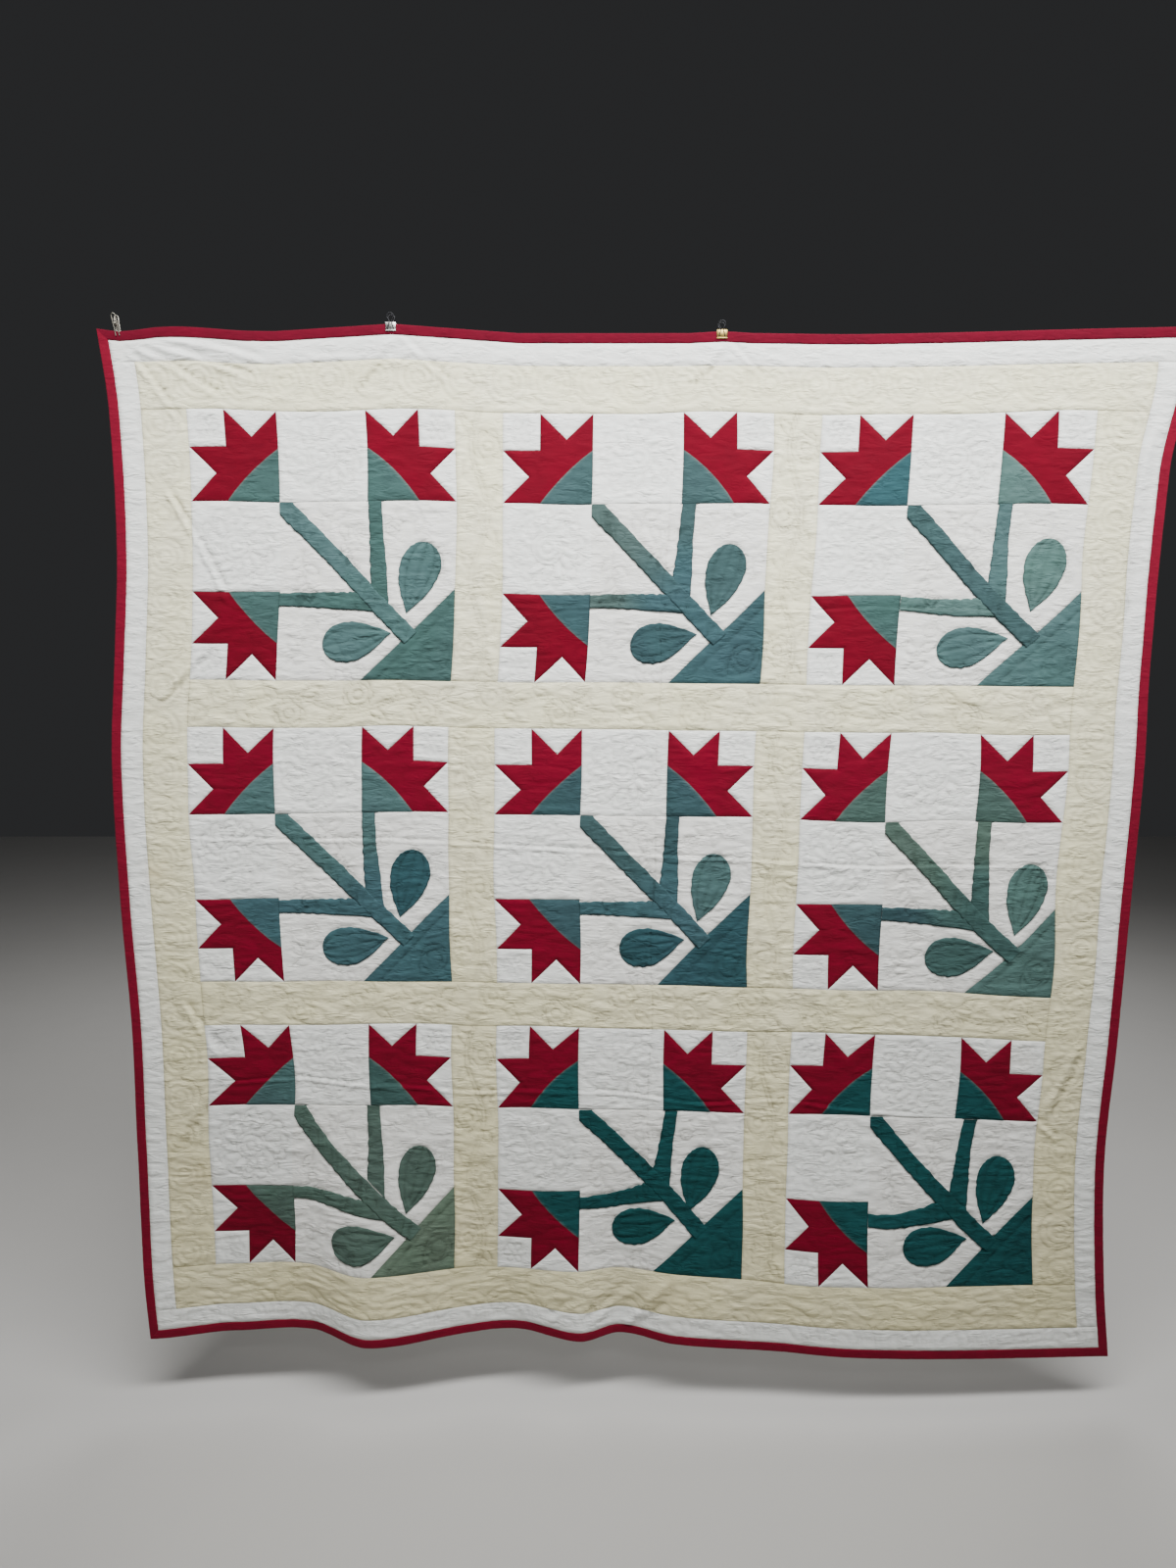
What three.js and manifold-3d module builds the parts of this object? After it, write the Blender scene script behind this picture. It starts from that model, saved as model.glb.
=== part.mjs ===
// A hand-quilted lily quilt that hangs by its top edge from small clips.
// Millimetres, +Z up, the front faces -Y, and the origin is the middle of the top edge.
import * as THREE from "three";
import { mergeVertices } from "three/addons/utils/BufferGeometryUtils.js";
import Module from "manifold-3d";

const wasm = await Module();
wasm.setup();

// The flat quilt: blocks parted by sashes, inside a cream border, a white border and a binding
const BLOCKS_IN_A_ROW = 3;
const BLOCK = 520;
const UNITS_IN_A_BLOCK = 3;
const UNIT = BLOCK / UNITS_IN_A_BLOCK;
const SASH = 93.5;
const CREAM_BORDER = 90;
const WHITE_BORDER = 43;
const BINDING = 20;
const MARGIN = BINDING + WHITE_BORDER + CREAM_BORDER;
const PITCH = BLOCK + SASH;
const SIDE = BLOCKS_IN_A_ROW * PITCH - SASH + 2 * MARGIN;
const HALF = SIDE / 2;

// Heights of the cloth from the middle of the batting
const GAP = 0.3;
const PRESSED_EDGE = 0.8;
const SEAM = 1.3;
const PUFF = 2.3;
const BACK = 1.4;
const APPLIQUE_CLOTH = 0.9;

// The binding's folded section, measured in from the quilt's outer edge
const FOLD_NOSE = 1.2;
const FOLD_INSIDE = 2.3;
const CUT_EDGE = 2.7;
const BINDING_INNER = 1.4;
const BINDING_OUTER = 2.4;
const CORNER_STATION = 40;

// Steps of the cloth's grid, and half the step that finds which way the cloth faces
const STEPS_IN_A_UNIT = 3;
const NEAR = 2;

// How the cloth is drawn to the right at each level below the top edge
const DRAWN = [
  { down: 0, left: -8, middle: 0, right: 13 },
  { down: 150, left: 8, middle: 0, right: 10 },
  { down: 420, left: 10, middle: -4, right: -4 },
  { down: 640, left: -6, middle: -14, right: -11 },
  { down: 830, left: -21, middle: -26, right: -10 },
  { down: 1130, left: -18, middle: -26, right: -22 },
  { down: 1390, left: -8, middle: -25, right: -32 },
  { down: 1640, left: -9, middle: -27, right: -45 },
  { down: 1900, left: -4, middle: -31, right: -36 },
  { down: 2053, left: 6, middle: -28, right: -20 },
];

// How the cloth is lifted above a square hang at each level
const LIFTED = [
  { down: 0, left: 9, middle: 0, right: 12 },
  { down: 150, left: 11, middle: 4, right: 7 },
  { down: 673, left: 14, middle: 8, right: -2 },
  { down: 1026, left: 8, middle: 8, right: -10 },
  { down: 1390, left: 10, middle: 4, right: -27 },
  { down: 1900, left: 10, middle: 3, right: -22 },
  { down: 2053, left: 10, middle: 8, right: -30 },
];

// Where the top edge is pulled up or sags, and how far down that reaches
const PULLS = [
  { across: CORNER_STATION - HALF, left: 44, right: 70, lift: -5, fade: 60, pinched: true },
  { across: -870, left: 110, right: 140, lift: 6, fade: 150, pinched: false },
  { across: -468, left: 220, right: 240, lift: 16, fade: 190, pinched: true },
  { across: 158, left: 60, right: 60, lift: 3, fade: 80, pinched: true },
  { across: 420, left: 260, right: 520, lift: -4, fade: 260, pinched: false },
];

// Folds that run up from the hem, with how far they come forward and drop there
const FOLDS = [
  { across: -HALF, left: 190, right: 190, forward: 20, drop: 5, rise: 420 },
  { across: -720, left: 120, right: 90, forward: -9, drop: 0, rise: 320 },
  { across: -540, left: 135, right: 270, forward: 45, drop: 14, rise: 480 },
  { across: -238, left: 90, right: 80, forward: -9, drop: 0, rise: 260 },
  { across: -85, left: 125, right: 84, forward: 26, drop: 7, rise: 280 },
  { across: 120, left: 116, right: 260, forward: 18, drop: 7, rise: 330 },
  { across: 500, left: 510, right: 900, forward: 45, drop: 16, rise: 560 },
];

// Soft swells of the hanging cloth
const SWELLS = [
  { across: 330, down: 860, wide: 520, high: 620, forward: 9 },
  { across: -520, down: 1120, wide: 420, high: 560, forward: -7 },
  { across: -250, down: 420, wide: 480, high: 360, forward: 6 },
];

// Where the hand piecing is off: a place in a block, in units, and how far it is pushed right and down
const NUDGES = [
  { row: 0, column: 0, at: [0.5, 0.5], push: [0, -5] },
  { row: 0, column: 0, at: [2.5, 0.5], push: [3, -8] },
  { row: 0, column: 1, at: [2.5, 0.5], push: [4, -6] },
  { row: 0, column: 1, at: [0.5, 2.5], push: [3, 4] },
  { row: 0, column: 2, at: [2.5, 0.5], push: [5, -7] },
  { row: 0, column: 2, at: [0.5, 2.5], push: [-7, 1] },
  { row: 0, column: 2, at: [2.9, 2.5], push: [10, 2] },
  { row: 0, column: 2, at: [3.75, -0.5], push: [24, 0] },
  { row: 1, column: 0, at: [2.5, 0.5], push: [8, -6] },
  { row: 1, column: 1, at: [0.6, 0.5], push: [5, 0] },
  { row: 1, column: 1, at: [2.9, 2.7], push: [-6, 0] },
  { row: 1, column: 2, at: [0.8, 0.9], push: [-5, 9] },
  { row: 1, column: 2, at: [2.5, 0.5], push: [6, 5] },
  { row: 1, column: 2, at: [0.5, 2.5], push: [-6, 2] },
  { row: 1, column: 2, at: [2.8, 2.7], push: [9, 7] },
  { row: 2, column: 0, at: [0.8, 0.7], push: [15, -6] },
  { row: 2, column: 0, at: [2.4, 0.5], push: [-7, -9] },
  { row: 2, column: 0, at: [0.5, 2.5], push: [6, -3] },
  { row: 2, column: 1, at: [0.5, 0.5], push: [-7, -7] },
  { row: 2, column: 1, at: [0.5, 2.5], push: [0, 11] },
  { row: 2, column: 2, at: [0.5, 0.5], push: [-6, -3] },
  { row: 2, column: 2, at: [2.5, 0.6], push: [9, 0] },
  { row: 2, column: 2, at: [0.5, 2.5], push: [-6, 8] },
];
const NUDGE_REACH = 200;

// Green dye lots
const MINT = 0x547f7a;
const SEA = 0x4f7a76;
const TEAL = 0x3f6b70;
const OLIVE = 0x4b6c5c;
const BOTTLE = 0x12504c;

// The nine blocks, row by row: the head and foot of each side stem off a straight run, the long stem's bow,
// how far right and down the upper and lower leaf lie, and how far the base reaches past its unit
const BLOCKS = [
  { upright: [1, 15], side: [2, 7], bow: 0, upper: [6, -3], lower: [2, 3], base: 7, green: SEA },
  { upright: [1, -6], side: [0, 6], bow: 0, upper: [-5, -3], lower: [-4, 2], base: 8, green: SEA },
  { upright: [2, -1], side: [1, 8], bow: 3, upper: [3, -16], lower: [-9, 4], base: 12, green: MINT },
  { upright: [0, 9], side: [3, 7], bow: 0, upper: [-3, -5], lower: [-3, 5], base: 10, green: TEAL },
  { upright: [0, -8], side: [3, 5], bow: 0, upper: [-7, -3], lower: [-7, 2], base: 16, green: TEAL },
  { upright: [5, 10], side: [4, 15], bow: 8, upper: [17, 8], lower: [3, 6], base: 0, green: OLIVE },
  { upright: [-8, -6], side: [0, 28], bow: 14, upper: [-4, 4], lower: [-2, 17], base: 4, green: OLIVE },
  { upright: [3, -14], side: [13, -10], bow: -5, upper: [-16, -2], lower: [-18, -15], base: 14, green: BOTTLE },
  { upright: [18, 0], side: [22, -2], bow: 7, upper: [-6, -2], lower: [-15, -5], base: 13, green: BOTTLE },
].map((block, i) => ({ ...block, row: Math.floor(i / BLOCKS_IN_A_ROW), column: i % BLOCKS_IN_A_ROW }));

// Appliqué shapes, in units right and down from a block's top left corner
const STEM_HALF_WIDTH = 17;
const STEM_END = 2.53;
const SIDE_STEM_TOP = 0.15;
const SIDE_STEM_FOOT = 0.11;
const SIDE_STEM_FOOT_AT = { right: 2.07, down: 2.07 };
const UPPER_LEAF = { tip: [2.425, 2.25], crown: [2.645, 1.46], width: 79 };
const LOWER_LEAF = { tip: [2.275, 2.44], crown: [1.51, 2.605], width: 79 };
const LEAF_WIDEST = 0.66;
const LEAF_STEPS = 6;
const CUTTER_DEPTH = 400;

// Spring clips on the top edge
const CLIPS = [
  { name: "clip_silver", across: -468, width: 19.5, colour: 0xc9cac6 },
  { name: "clip_gold", across: 158, width: 20, colour: 0xb8a06a },
];
const CLIP_ABOVE_EDGE = 2.2;
const CLIP_BELOW_EDGE = 13.8;
const CLIP_SPINE_HALF = 5;
const CLIP_SHEET = 0.7;
const HANDLE_WIRE = 1.5;
const HANDLE_FOOT = 5.6;
const HANDLE_FOOT_ABOVE_MOUTH = 1.5;
const HANDLE_WAIST = 4.5;
const HANDLE_NECK = 2.4;
const HANDLE_LOOP = 6.2;
const HANDLE_LOOP_ABOVE_SPINE = 10;
const HANDLE_LOOP_REACH = 140;
const HANDLE_LOOP_POINTS = 7;
const HANDLE_STEPS = 26;

// Wire peg at the top left corner
const PEG_ACROSS = CORNER_STATION - HALF;
const PEG_LEAN = THREE.MathUtils.degToRad(-9);
const PEG_WIRE = 2;
const PEG_WIDTH = 9;
const PEG_ABOVE_EDGE = 33;
const PEG_BELOW_EDGE = 8.5;
const PEG_SPREAD = 4.6;
const PEG_SPRING_AT = 15;
const PEG_SPRING_LENGTH = 12;
const PEG_SPRING_SIDES = 12;
const PEG_STEPS = 24;
const WIRE_ARC_SEGMENTS = 3;

// Colours and finishes
const CREAM_WHITE = 0xe0dcd0;
const RED = 0x961c32;
const DARK_WIRE = 0x3a3c3e;
const BRIGHT_WIRE = 0xb9b4a6;
const CLOTH = { roughness: 0.95, metalness: 0 };
const METAL = { roughness: 0.35, metalness: 0.9 };

const quilt = new THREE.Group();

function addPiece(name, geometry, color, finish) {
  const material = new THREE.MeshStandardMaterial({ color, ...finish });
  const piece = new THREE.Mesh(geometry, material);
  piece.name = name;
  quilt.add(piece);
  return piece;
}

// A smooth curve through a column of a table, by the distance below the top edge
function level(rows, column, down) {
  let i = 0;
  while (i < rows.length - 2 && down > rows[i + 1].down) i += 1;
  const slope = (k) => {
    const before = rows[Math.max(k - 1, 0)];
    const after = rows[Math.min(k + 1, rows.length - 1)];
    return (after[column] - before[column]) / (after.down - before.down);
  };
  const step = rows[i + 1].down - rows[i].down;
  const t = (down - rows[i].down) / step;
  const start = rows[i][column] * (1 + 2 * t) + slope(i) * step * t;
  const end = rows[i + 1][column] * (3 - 2 * t) - slope(i + 1) * step * (1 - t);
  return start * (1 - t) ** 2 + end * t ** 2;
}

// A table's value at a point of the cloth, bent smoothly through its left, middle and right
function bent(rows, across, down) {
  const t = across / HALF;
  const left = level(rows, "left", down);
  const middle = level(rows, "middle", down);
  const right = level(rows, "right", down);
  return middle + (t * (right - left)) / 2 + t * t * ((right + left) / 2 - middle);
}

// 1 at the middle of a bump, falling smoothly to 0 where t reaches 1
function bump(t) {
  return t >= 1 ? 0 : (1 - t) ** 2 * (1 + 2 * t);
}

function share(row, across) {
  const away = across - row.across;
  const t = away < 0 ? -away / row.left : away / row.right;
  return row.pinched ? Math.max(0, 1 - t) : bump(t);
}

// A place in a block, in units right and down, as a place on the flat quilt
function inBlock({ row, column }, [right, down]) {
  return [MARGIN + column * PITCH + right * UNIT - HALF, MARGIN + row * PITCH + down * UNIT];
}

// A place on the flat quilt, pushed about as hand-pieced cloth is
function pieced(place) {
  const pushed = [...place];
  for (const nudge of NUDGES) {
    const [across, down] = inBlock(nudge, nudge.at);
    const strength = bump(Math.hypot(place[0] - across, place[1] - down) / NUDGE_REACH);
    pushed[0] += nudge.push[0] * strength;
    pushed[1] += nudge.push[1] * strength;
  }
  return pushed;
}

// Where a point of the flat quilt hangs: across from the middle, down from the top edge
function hang(...place) {
  const [across, down] = pieced(place);
  const x = across + bent(DRAWN, across, down);
  let z = -down + bent(LIFTED, across, down);
  let forward = 0;
  for (const pull of PULLS) z += pull.lift * share(pull, across) * bump(down / pull.fade);
  for (const fold of FOLDS) {
    const strength = share(fold, across) * bump((SIDE - down) / fold.rise);
    forward += fold.forward * strength;
    z -= fold.drop * strength;
  }
  for (const swell of SWELLS) {
    const wide = Math.abs(across - swell.across) / swell.wide;
    const high = Math.abs(down - swell.down) / swell.high;
    forward += swell.forward * bump(wide) * bump(high);
  }
  return new THREE.Vector3(x, -forward, z);
}

// The direction that the front of the cloth faces
function facing(across, down) {
  const right = hang(across + NEAR, down).sub(hang(across - NEAR, down));
  const below = hang(across, down + NEAR).sub(hang(across, down - NEAR));
  return below.cross(right).normalize();
}

function onCloth(across, down, height) {
  return hang(across, down).addScaledVector(facing(across, down), height);
}

// The grid of the cloth: the same lines run across and down
const LINE = { edge: 0, fill: 1, seam: 2, unit: 3 };

function gridLines() {
  const lines = [
    { at: CUT_EDGE, kind: LINE.edge },
    { at: BINDING, kind: LINE.edge },
    { at: CORNER_STATION, kind: LINE.fill },
    { at: BINDING + WHITE_BORDER, kind: LINE.seam },
    { at: BINDING + WHITE_BORDER + CREAM_BORDER / 2, kind: LINE.fill },
  ];
  const margin = lines.map(({ at, kind }) => ({ at: SIDE - at, kind })).reverse();
  for (let block = 0; block < BLOCKS_IN_A_ROW; block += 1) {
    const start = MARGIN + block * PITCH;
    const steps = UNITS_IN_A_BLOCK * STEPS_IN_A_UNIT;
    if (block > 0) lines.push({ at: start - SASH / 2, kind: LINE.fill });
    for (let step = 0; step <= steps; step += 1) {
      let kind = step % STEPS_IN_A_UNIT === 0 ? LINE.unit : LINE.fill;
      if (step === 0 || step === steps) kind = LINE.seam;
      lines.push({ at: start + (step * BLOCK) / steps, kind });
    }
  }
  return [...lines, ...margin];
}

const LINES = gridLines();

function insideBlocks(at) {
  const place = (at - MARGIN + PITCH) % PITCH;
  return at > MARGIN && at < SIDE - MARGIN && place <= BLOCK;
}

// The front lies low along the seams and rises in puffs between them
function frontHeight(lineAcross, lineDown) {
  const kinds = [lineAcross.kind, lineDown.kind];
  if (kinds.includes(LINE.edge)) return PRESSED_EDGE;
  if (kinds.includes(LINE.seam)) return SEAM;
  const sewn =
    (lineAcross.kind === LINE.unit && insideBlocks(lineDown.at)) ||
    (lineDown.kind === LINE.unit && insideBlocks(lineAcross.at));
  return sewn ? SEAM : PUFF;
}

function backHeight(lineAcross, lineDown) {
  const pressed = [lineAcross.kind, lineDown.kind].includes(LINE.edge);
  return pressed ? -PRESSED_EDGE : -BACK;
}

// A closed sheet of cloth over a run of grid lines, its two faces at the given heights
function clothSheet(linesAcross, linesDown, front, back) {
  const cellsAcross = linesAcross.length - 1;
  const cellsDown = linesDown.length - 1;
  const positions = [front, back].flatMap((height) =>
    linesDown.flatMap((lineDown) =>
      linesAcross.flatMap((lineAcross) => {
        const place = onCloth(lineAcross.at - HALF, lineDown.at, height(lineAcross, lineDown));
        return place.toArray();
      }),
    ),
  );
  const faces = Array.from(new THREE.PlaneGeometry(1, 1, cellsAcross, cellsDown).index.array);
  const onBack = linesAcross.length * linesDown.length;
  const backFaces = faces.map((corner) => corner + onBack).reverse();
  const row = linesAcross.length;
  const rim = [
    ...linesAcross.map((_, i) => i),
    ...linesDown.slice(1).map((_, j) => (j + 2) * row - 1),
    ...linesAcross.slice(1).map((_, i) => onBack - 2 - i),
    ...linesDown.slice(1, -1).map((_, j) => onBack - (j + 2) * row),
  ];
  const rimFaces = rim.flatMap((corner, i) => {
    const next = rim[(i + 1) % rim.length];
    return [corner, next, next + onBack, corner, next + onBack, corner + onBack];
  });
  const geometry = new THREE.BufferGeometry();
  geometry.setAttribute("position", new THREE.Float32BufferAttribute(positions, 3));
  geometry.setIndex([...faces, ...backFaces, ...rimFaces]);
  return geometry;
}

// A geometry with its shared corners merged, as the cutter and joiner needs
function merged(geometry) {
  geometry.deleteAttribute("normal");
  geometry.deleteAttribute("uv");
  return mergeVertices(geometry);
}

function toSolid(geometry) {
  const closed = merged(geometry);
  return new wasm.Manifold(
    new wasm.Mesh({
      numProp: 3,
      vertProperties: closed.getAttribute("position").array,
      triVerts: new Uint32Array(closed.index.array),
    }),
  );
}

function toGeometry(solid) {
  const mesh = solid.getMesh();
  const geometry = new THREE.BufferGeometry();
  geometry.setAttribute("position", new THREE.BufferAttribute(mesh.vertProperties, mesh.numProp));
  geometry.setIndex(new THREE.BufferAttribute(mesh.triVerts, 1));
  return geometry;
}

addPiece("quilt_body", clothSheet(LINES, LINES, frontHeight, backHeight), CREAM_WHITE, CLOTH);

// The section of the binding, folded over the cut edge
const BINDING_SECTION = [
  { inset: BINDING, height: BINDING_OUTER },
  { inset: FOLD_NOSE, height: BINDING_OUTER },
  { inset: 0, height: 0 },
  { inset: FOLD_NOSE, height: -BINDING_OUTER },
  { inset: BINDING, height: -BINDING_OUTER },
  { inset: BINDING, height: -BINDING_INNER },
  { inset: FOLD_INSIDE, height: -BINDING_INNER },
  { inset: FOLD_INSIDE, height: BINDING_INNER },
  { inset: BINDING, height: BINDING_INNER },
];

const BINDING_SIDES = [
  { name: "binding_top", place: (along, inset) => [along - HALF, inset], turned: true },
  { name: "binding_bottom", place: (along, inset) => [along - HALF, SIDE - inset], turned: false },
  { name: "binding_left", place: (along, inset) => [inset - HALF, along], turned: false },
  { name: "binding_right", place: (along, inset) => [HALF - inset, along], turned: true },
];

// A strip with one section at each station, its two ends cut to the mitre
function bindingStrip({ place, turned }) {
  const inner = LINES.filter(({ at }) => at >= CORNER_STATION && at <= SIDE - CORNER_STATION);
  const stations = [
    (inset) => inset + GAP,
    ...inner.map(({ at }) => () => at),
    (inset) => SIDE - inset - GAP,
  ];
  const positions = [];
  for (const station of stations) {
    for (const { inset, height } of BINDING_SECTION) {
      positions.push(...onCloth(...place(station(inset), inset), height).toArray());
    }
  }
  const count = BINDING_SECTION.length;
  const faces = [];
  for (let s = 0; s < stations.length - 1; s += 1) {
    for (let k = 0; k < count; k += 1) {
      const next = (k + 1) % count;
      const corners = [s * count + k, s * count + next, (s + 1) * count + next, (s + 1) * count + k];
      faces.push([corners[0], corners[1], corners[2]], [corners[0], corners[2], corners[3]]);
    }
  }
  const outline = BINDING_SECTION.map(({ inset, height }) => new THREE.Vector2(inset, height));
  const last = (stations.length - 1) * count;
  for (const [a, b, c] of THREE.ShapeUtils.triangulateShape(outline, [])) {
    faces.push([a, c, b], [last + a, last + b, last + c]);
  }
  const geometry = new THREE.BufferGeometry();
  geometry.setAttribute("position", new THREE.Float32BufferAttribute(positions, 3));
  geometry.setIndex(faces.flatMap(([a, b, c]) => (turned ? [a, c, b] : [a, b, c])));
  return geometry;
}

for (const side of BINDING_SIDES) addPiece(side.name, bindingStrip(side), RED, CLOTH);

// A layer of cloth that lies on the front of a block's large square
function appliqueLayer({ row, column }) {
  const lineIn = (index) => {
    const start = MARGIN + index * PITCH + UNIT;
    const end = start + 2 * UNIT;
    return LINES.filter(({ at }) => at > start - GAP && at < end + GAP);
  };
  const top = (a, d) => frontHeight(a, d) + GAP + APPLIQUE_CLOTH;
  const bottom = (a, d) => frontHeight(a, d) + GAP;
  return toSolid(clothSheet(lineIn(column), lineIn(row), top, bottom));
}

// An upright prism over an outline on a block, in units right and down
function cutter(block, outline) {
  const points = outline.map((point) => {
    const place = hang(...inBlock(block, point));
    return new THREE.Vector2(place.x, place.z);
  });
  const prism = new THREE.ExtrudeGeometry(new THREE.Shape(points), {
    depth: CUTTER_DEPTH,
    bevelEnabled: false,
  });
  prism.rotateX(Math.PI / 2);
  prism.translate(0, CUTTER_DEPTH / 2, 0);
  return toSolid(prism);
}

// The long stem runs corner to corner, its upper end cut off square by the two seams
function longStem({ bow, base }, halfWidth) {
  const reach = (halfWidth * Math.SQRT2) / UNIT;
  const sway = (bow * Math.SQRT1_2) / UNIT;
  const half = reach / 2;
  const start = 1 + GAP / UNIT;
  const end = STEM_END - base / UNIT / 2;
  const middle = (1 + end) / 2;
  return [
    [start, start],
    [1 + reach, start],
    [middle + half - sway, middle - half + sway],
    [end + half, end - half],
    [end - half, end + half],
    [middle - half - sway, middle + half + sway],
    [start, 1 + reach],
  ];
}

// A side stem runs from a calyx to the long stem; the upright one, with right and down as named
function sideStem([head, foot]) {
  const start = 1 + GAP / UNIT;
  const from = 2 + head / UNIT;
  const at = SIDE_STEM_FOOT_AT.right + foot / UNIT;
  return [
    [from, start],
    [from + SIDE_STEM_TOP, start],
    [at + SIDE_STEM_FOOT, SIDE_STEM_FOOT_AT.down],
    [at + SIDE_STEM_FOOT, at + SIDE_STEM_FOOT],
    [at - SIDE_STEM_FOOT, at - SIDE_STEM_FOOT],
  ];
}

const turnedOver = (outline) => outline.map(([right, down]) => [down, right]).reverse();

// A teardrop with a pointed tip and a round crown, moved right and down
function leaf({ tip, crown, width }, [right, down]) {
  const axis = new THREE.Vector2(...crown).sub(new THREE.Vector2(...tip));
  const start = new THREE.Vector2(tip[0] + right / UNIT, tip[1] + down / UNIT);
  const side = new THREE.Vector2(-axis.y, axis.x).normalize().multiplyScalar(width / 2 / UNIT);
  const at = (t, swing) => {
    const past = (t - LEAF_WIDEST) / (1 - LEAF_WIDEST);
    const half = past < 0 ? Math.sin((t / LEAF_WIDEST) * (Math.PI / 2)) : Math.sqrt(1 - past * past);
    const point = start.clone().addScaledVector(axis, t).addScaledVector(side, swing * half);
    return [point.x, point.y];
  };
  const outline = [at(0, 0)];
  const stops = [];
  for (let i = 1; i < LEAF_STEPS; i += 1) stops.push(Math.sin((i / LEAF_STEPS) * (Math.PI / 2)));
  for (const t of stops) outline.push(at(t, 1));
  outline.push(at(1, 0));
  for (const t of [...stops].reverse()) outline.push(at(t, -1));
  return outline;
}

for (const block of BLOCKS) {
  const layer = appliqueLayer(block);
  const clearance = cutter(block, longStem(block, STEM_HALF_WIDTH + GAP));
  const place = `${block.row + 1}${block.column + 1}`;
  const sewOn = (name, outline, isLongStem) => {
    const cut = layer.intersect(cutter(block, outline));
    const piece = isLongStem ? cut : cut.subtract(clearance);
    addPiece(`${name}_${place}`, toGeometry(piece), block.green, CLOTH);
  };
  sewOn("stem_long", longStem(block, STEM_HALF_WIDTH), true);
  sewOn("stem_upright", sideStem(block.upright), false);
  sewOn("stem_side", turnedOver(sideStem(block.side)), false);
  sewOn("leaf_upper", leaf(UPPER_LEAF, block.upper), false);
  sewOn("leaf_lower", leaf(LOWER_LEAF, block.lower), false);
}

// A round wire along a curve through the given points
function wire(points, diameter, steps) {
  const section = new THREE.Shape();
  section.absarc(0, 0, diameter / 2, 0, 2 * Math.PI);
  return new THREE.ExtrudeGeometry(section, {
    steps,
    curveSegments: WIRE_ARC_SEGMENTS,
    bevelEnabled: false,
    extrudePath: new THREE.CatmullRomCurve3(points),
  });
}

const JAW = BINDING_OUTER + GAP;

// A clip's bent sheet: a flat spine and two cheeks that lean in to the cloth
function clipBody(width) {
  const corners = [
    [-CLIP_SPINE_HALF, CLIP_ABOVE_EDGE],
    [-JAW - CLIP_SHEET, -CLIP_BELOW_EDGE],
    [-JAW, -CLIP_BELOW_EDGE],
    [-CLIP_SPINE_HALF + CLIP_SHEET, CLIP_ABOVE_EDGE - CLIP_SHEET],
  ];
  const mirrored = corners.map(([depth, up]) => [-depth, up]).reverse();
  const shape = new THREE.Shape([...corners, ...mirrored].map((point) => new THREE.Vector2(...point)));
  const body = new THREE.ExtrudeGeometry(shape, { depth: width, bevelEnabled: false });
  const [x, y, z] = [new THREE.Vector3(1, 0, 0), new THREE.Vector3(0, 1, 0), new THREE.Vector3(0, 0, 1)];
  body.applyMatrix4(new THREE.Matrix4().makeBasis(y, z, x));
  body.translate(-width / 2, 0, 0);
  return body;
}

// A clip's wire handle lies on a cheek and stands in a round loop above the spine
function clipHandle(side) {
  const cheekTop = CLIP_SPINE_HALF;
  const cheekFoot = JAW + CLIP_SHEET;
  const lean = (cheekTop - cheekFoot) / (CLIP_ABOVE_EDGE + CLIP_BELOW_EDGE);
  const clear = HANDLE_WIRE / 2 + GAP;
  const at = (x, up) => {
    const depth = cheekTop + (up - CLIP_ABOVE_EDGE) * lean + clear;
    return new THREE.Vector3(x, side * depth, up);
  };
  const centre = CLIP_ABOVE_EDGE + HANDLE_LOOP_ABOVE_SPINE;
  const loop = Array.from({ length: HANDLE_LOOP_POINTS }, (_, i) => {
    const reach = THREE.MathUtils.degToRad(HANDLE_LOOP_REACH);
    const turn = reach * ((2 * i) / (HANDLE_LOOP_POINTS - 1) - 1);
    return at(HANDLE_LOOP * Math.sin(turn), centre + HANDLE_LOOP * Math.cos(turn));
  });
  const foot = HANDLE_FOOT_ABOVE_MOUTH - CLIP_BELOW_EDGE;
  const waist = (foot + CLIP_ABOVE_EDGE) / 2;
  const left = [at(-HANDLE_FOOT, foot), at(-HANDLE_WAIST, waist), at(-HANDLE_NECK, CLIP_ABOVE_EDGE)];
  const right = left.map((point) => new THREE.Vector3(-point.x, point.y, point.z)).reverse();
  return wire([...left, ...loop, ...right], HANDLE_WIRE, HANDLE_STEPS);
}

for (const { name, across, width, colour } of CLIPS) {
  const seat = hang(across, 0);
  const body = addPiece(name, clipBody(width), colour, METAL);
  const front = addPiece(`${name}_front_handle`, clipHandle(-1), DARK_WIRE, METAL);
  const rear = addPiece(`${name}_rear_handle`, clipHandle(1), DARK_WIRE, METAL);
  for (const piece of [body, front, rear]) piece.position.copy(seat);
}

// Half of the peg: a hairpin of wire, its tips on the cloth and its bend above
function pegHalf(side) {
  const foot = JAW + PEG_WIRE / 2;
  const at = (x, up) => {
    const rise = (up + PEG_BELOW_EDGE) / (PEG_ABOVE_EDGE + PEG_BELOW_EDGE);
    return new THREE.Vector3(x, side * (foot + PEG_SPREAD * rise), up);
  };
  const half = (PEG_WIDTH - PEG_WIRE) / 2;
  const bend = PEG_ABOVE_EDGE - half - PEG_WIRE / 2;
  const left = [at(-half, -PEG_BELOW_EDGE), at(-half, bend / 3), at(-half, bend)];
  const right = left.map((point) => new THREE.Vector3(-point.x, point.y, point.z)).reverse();
  const slant = half * Math.SQRT1_2;
  const top = [at(-slant, bend + slant), at(0, bend + half), at(slant, bend + slant)];
  return wire([...left, ...top, ...right], PEG_WIRE, PEG_STEPS);
}

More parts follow.
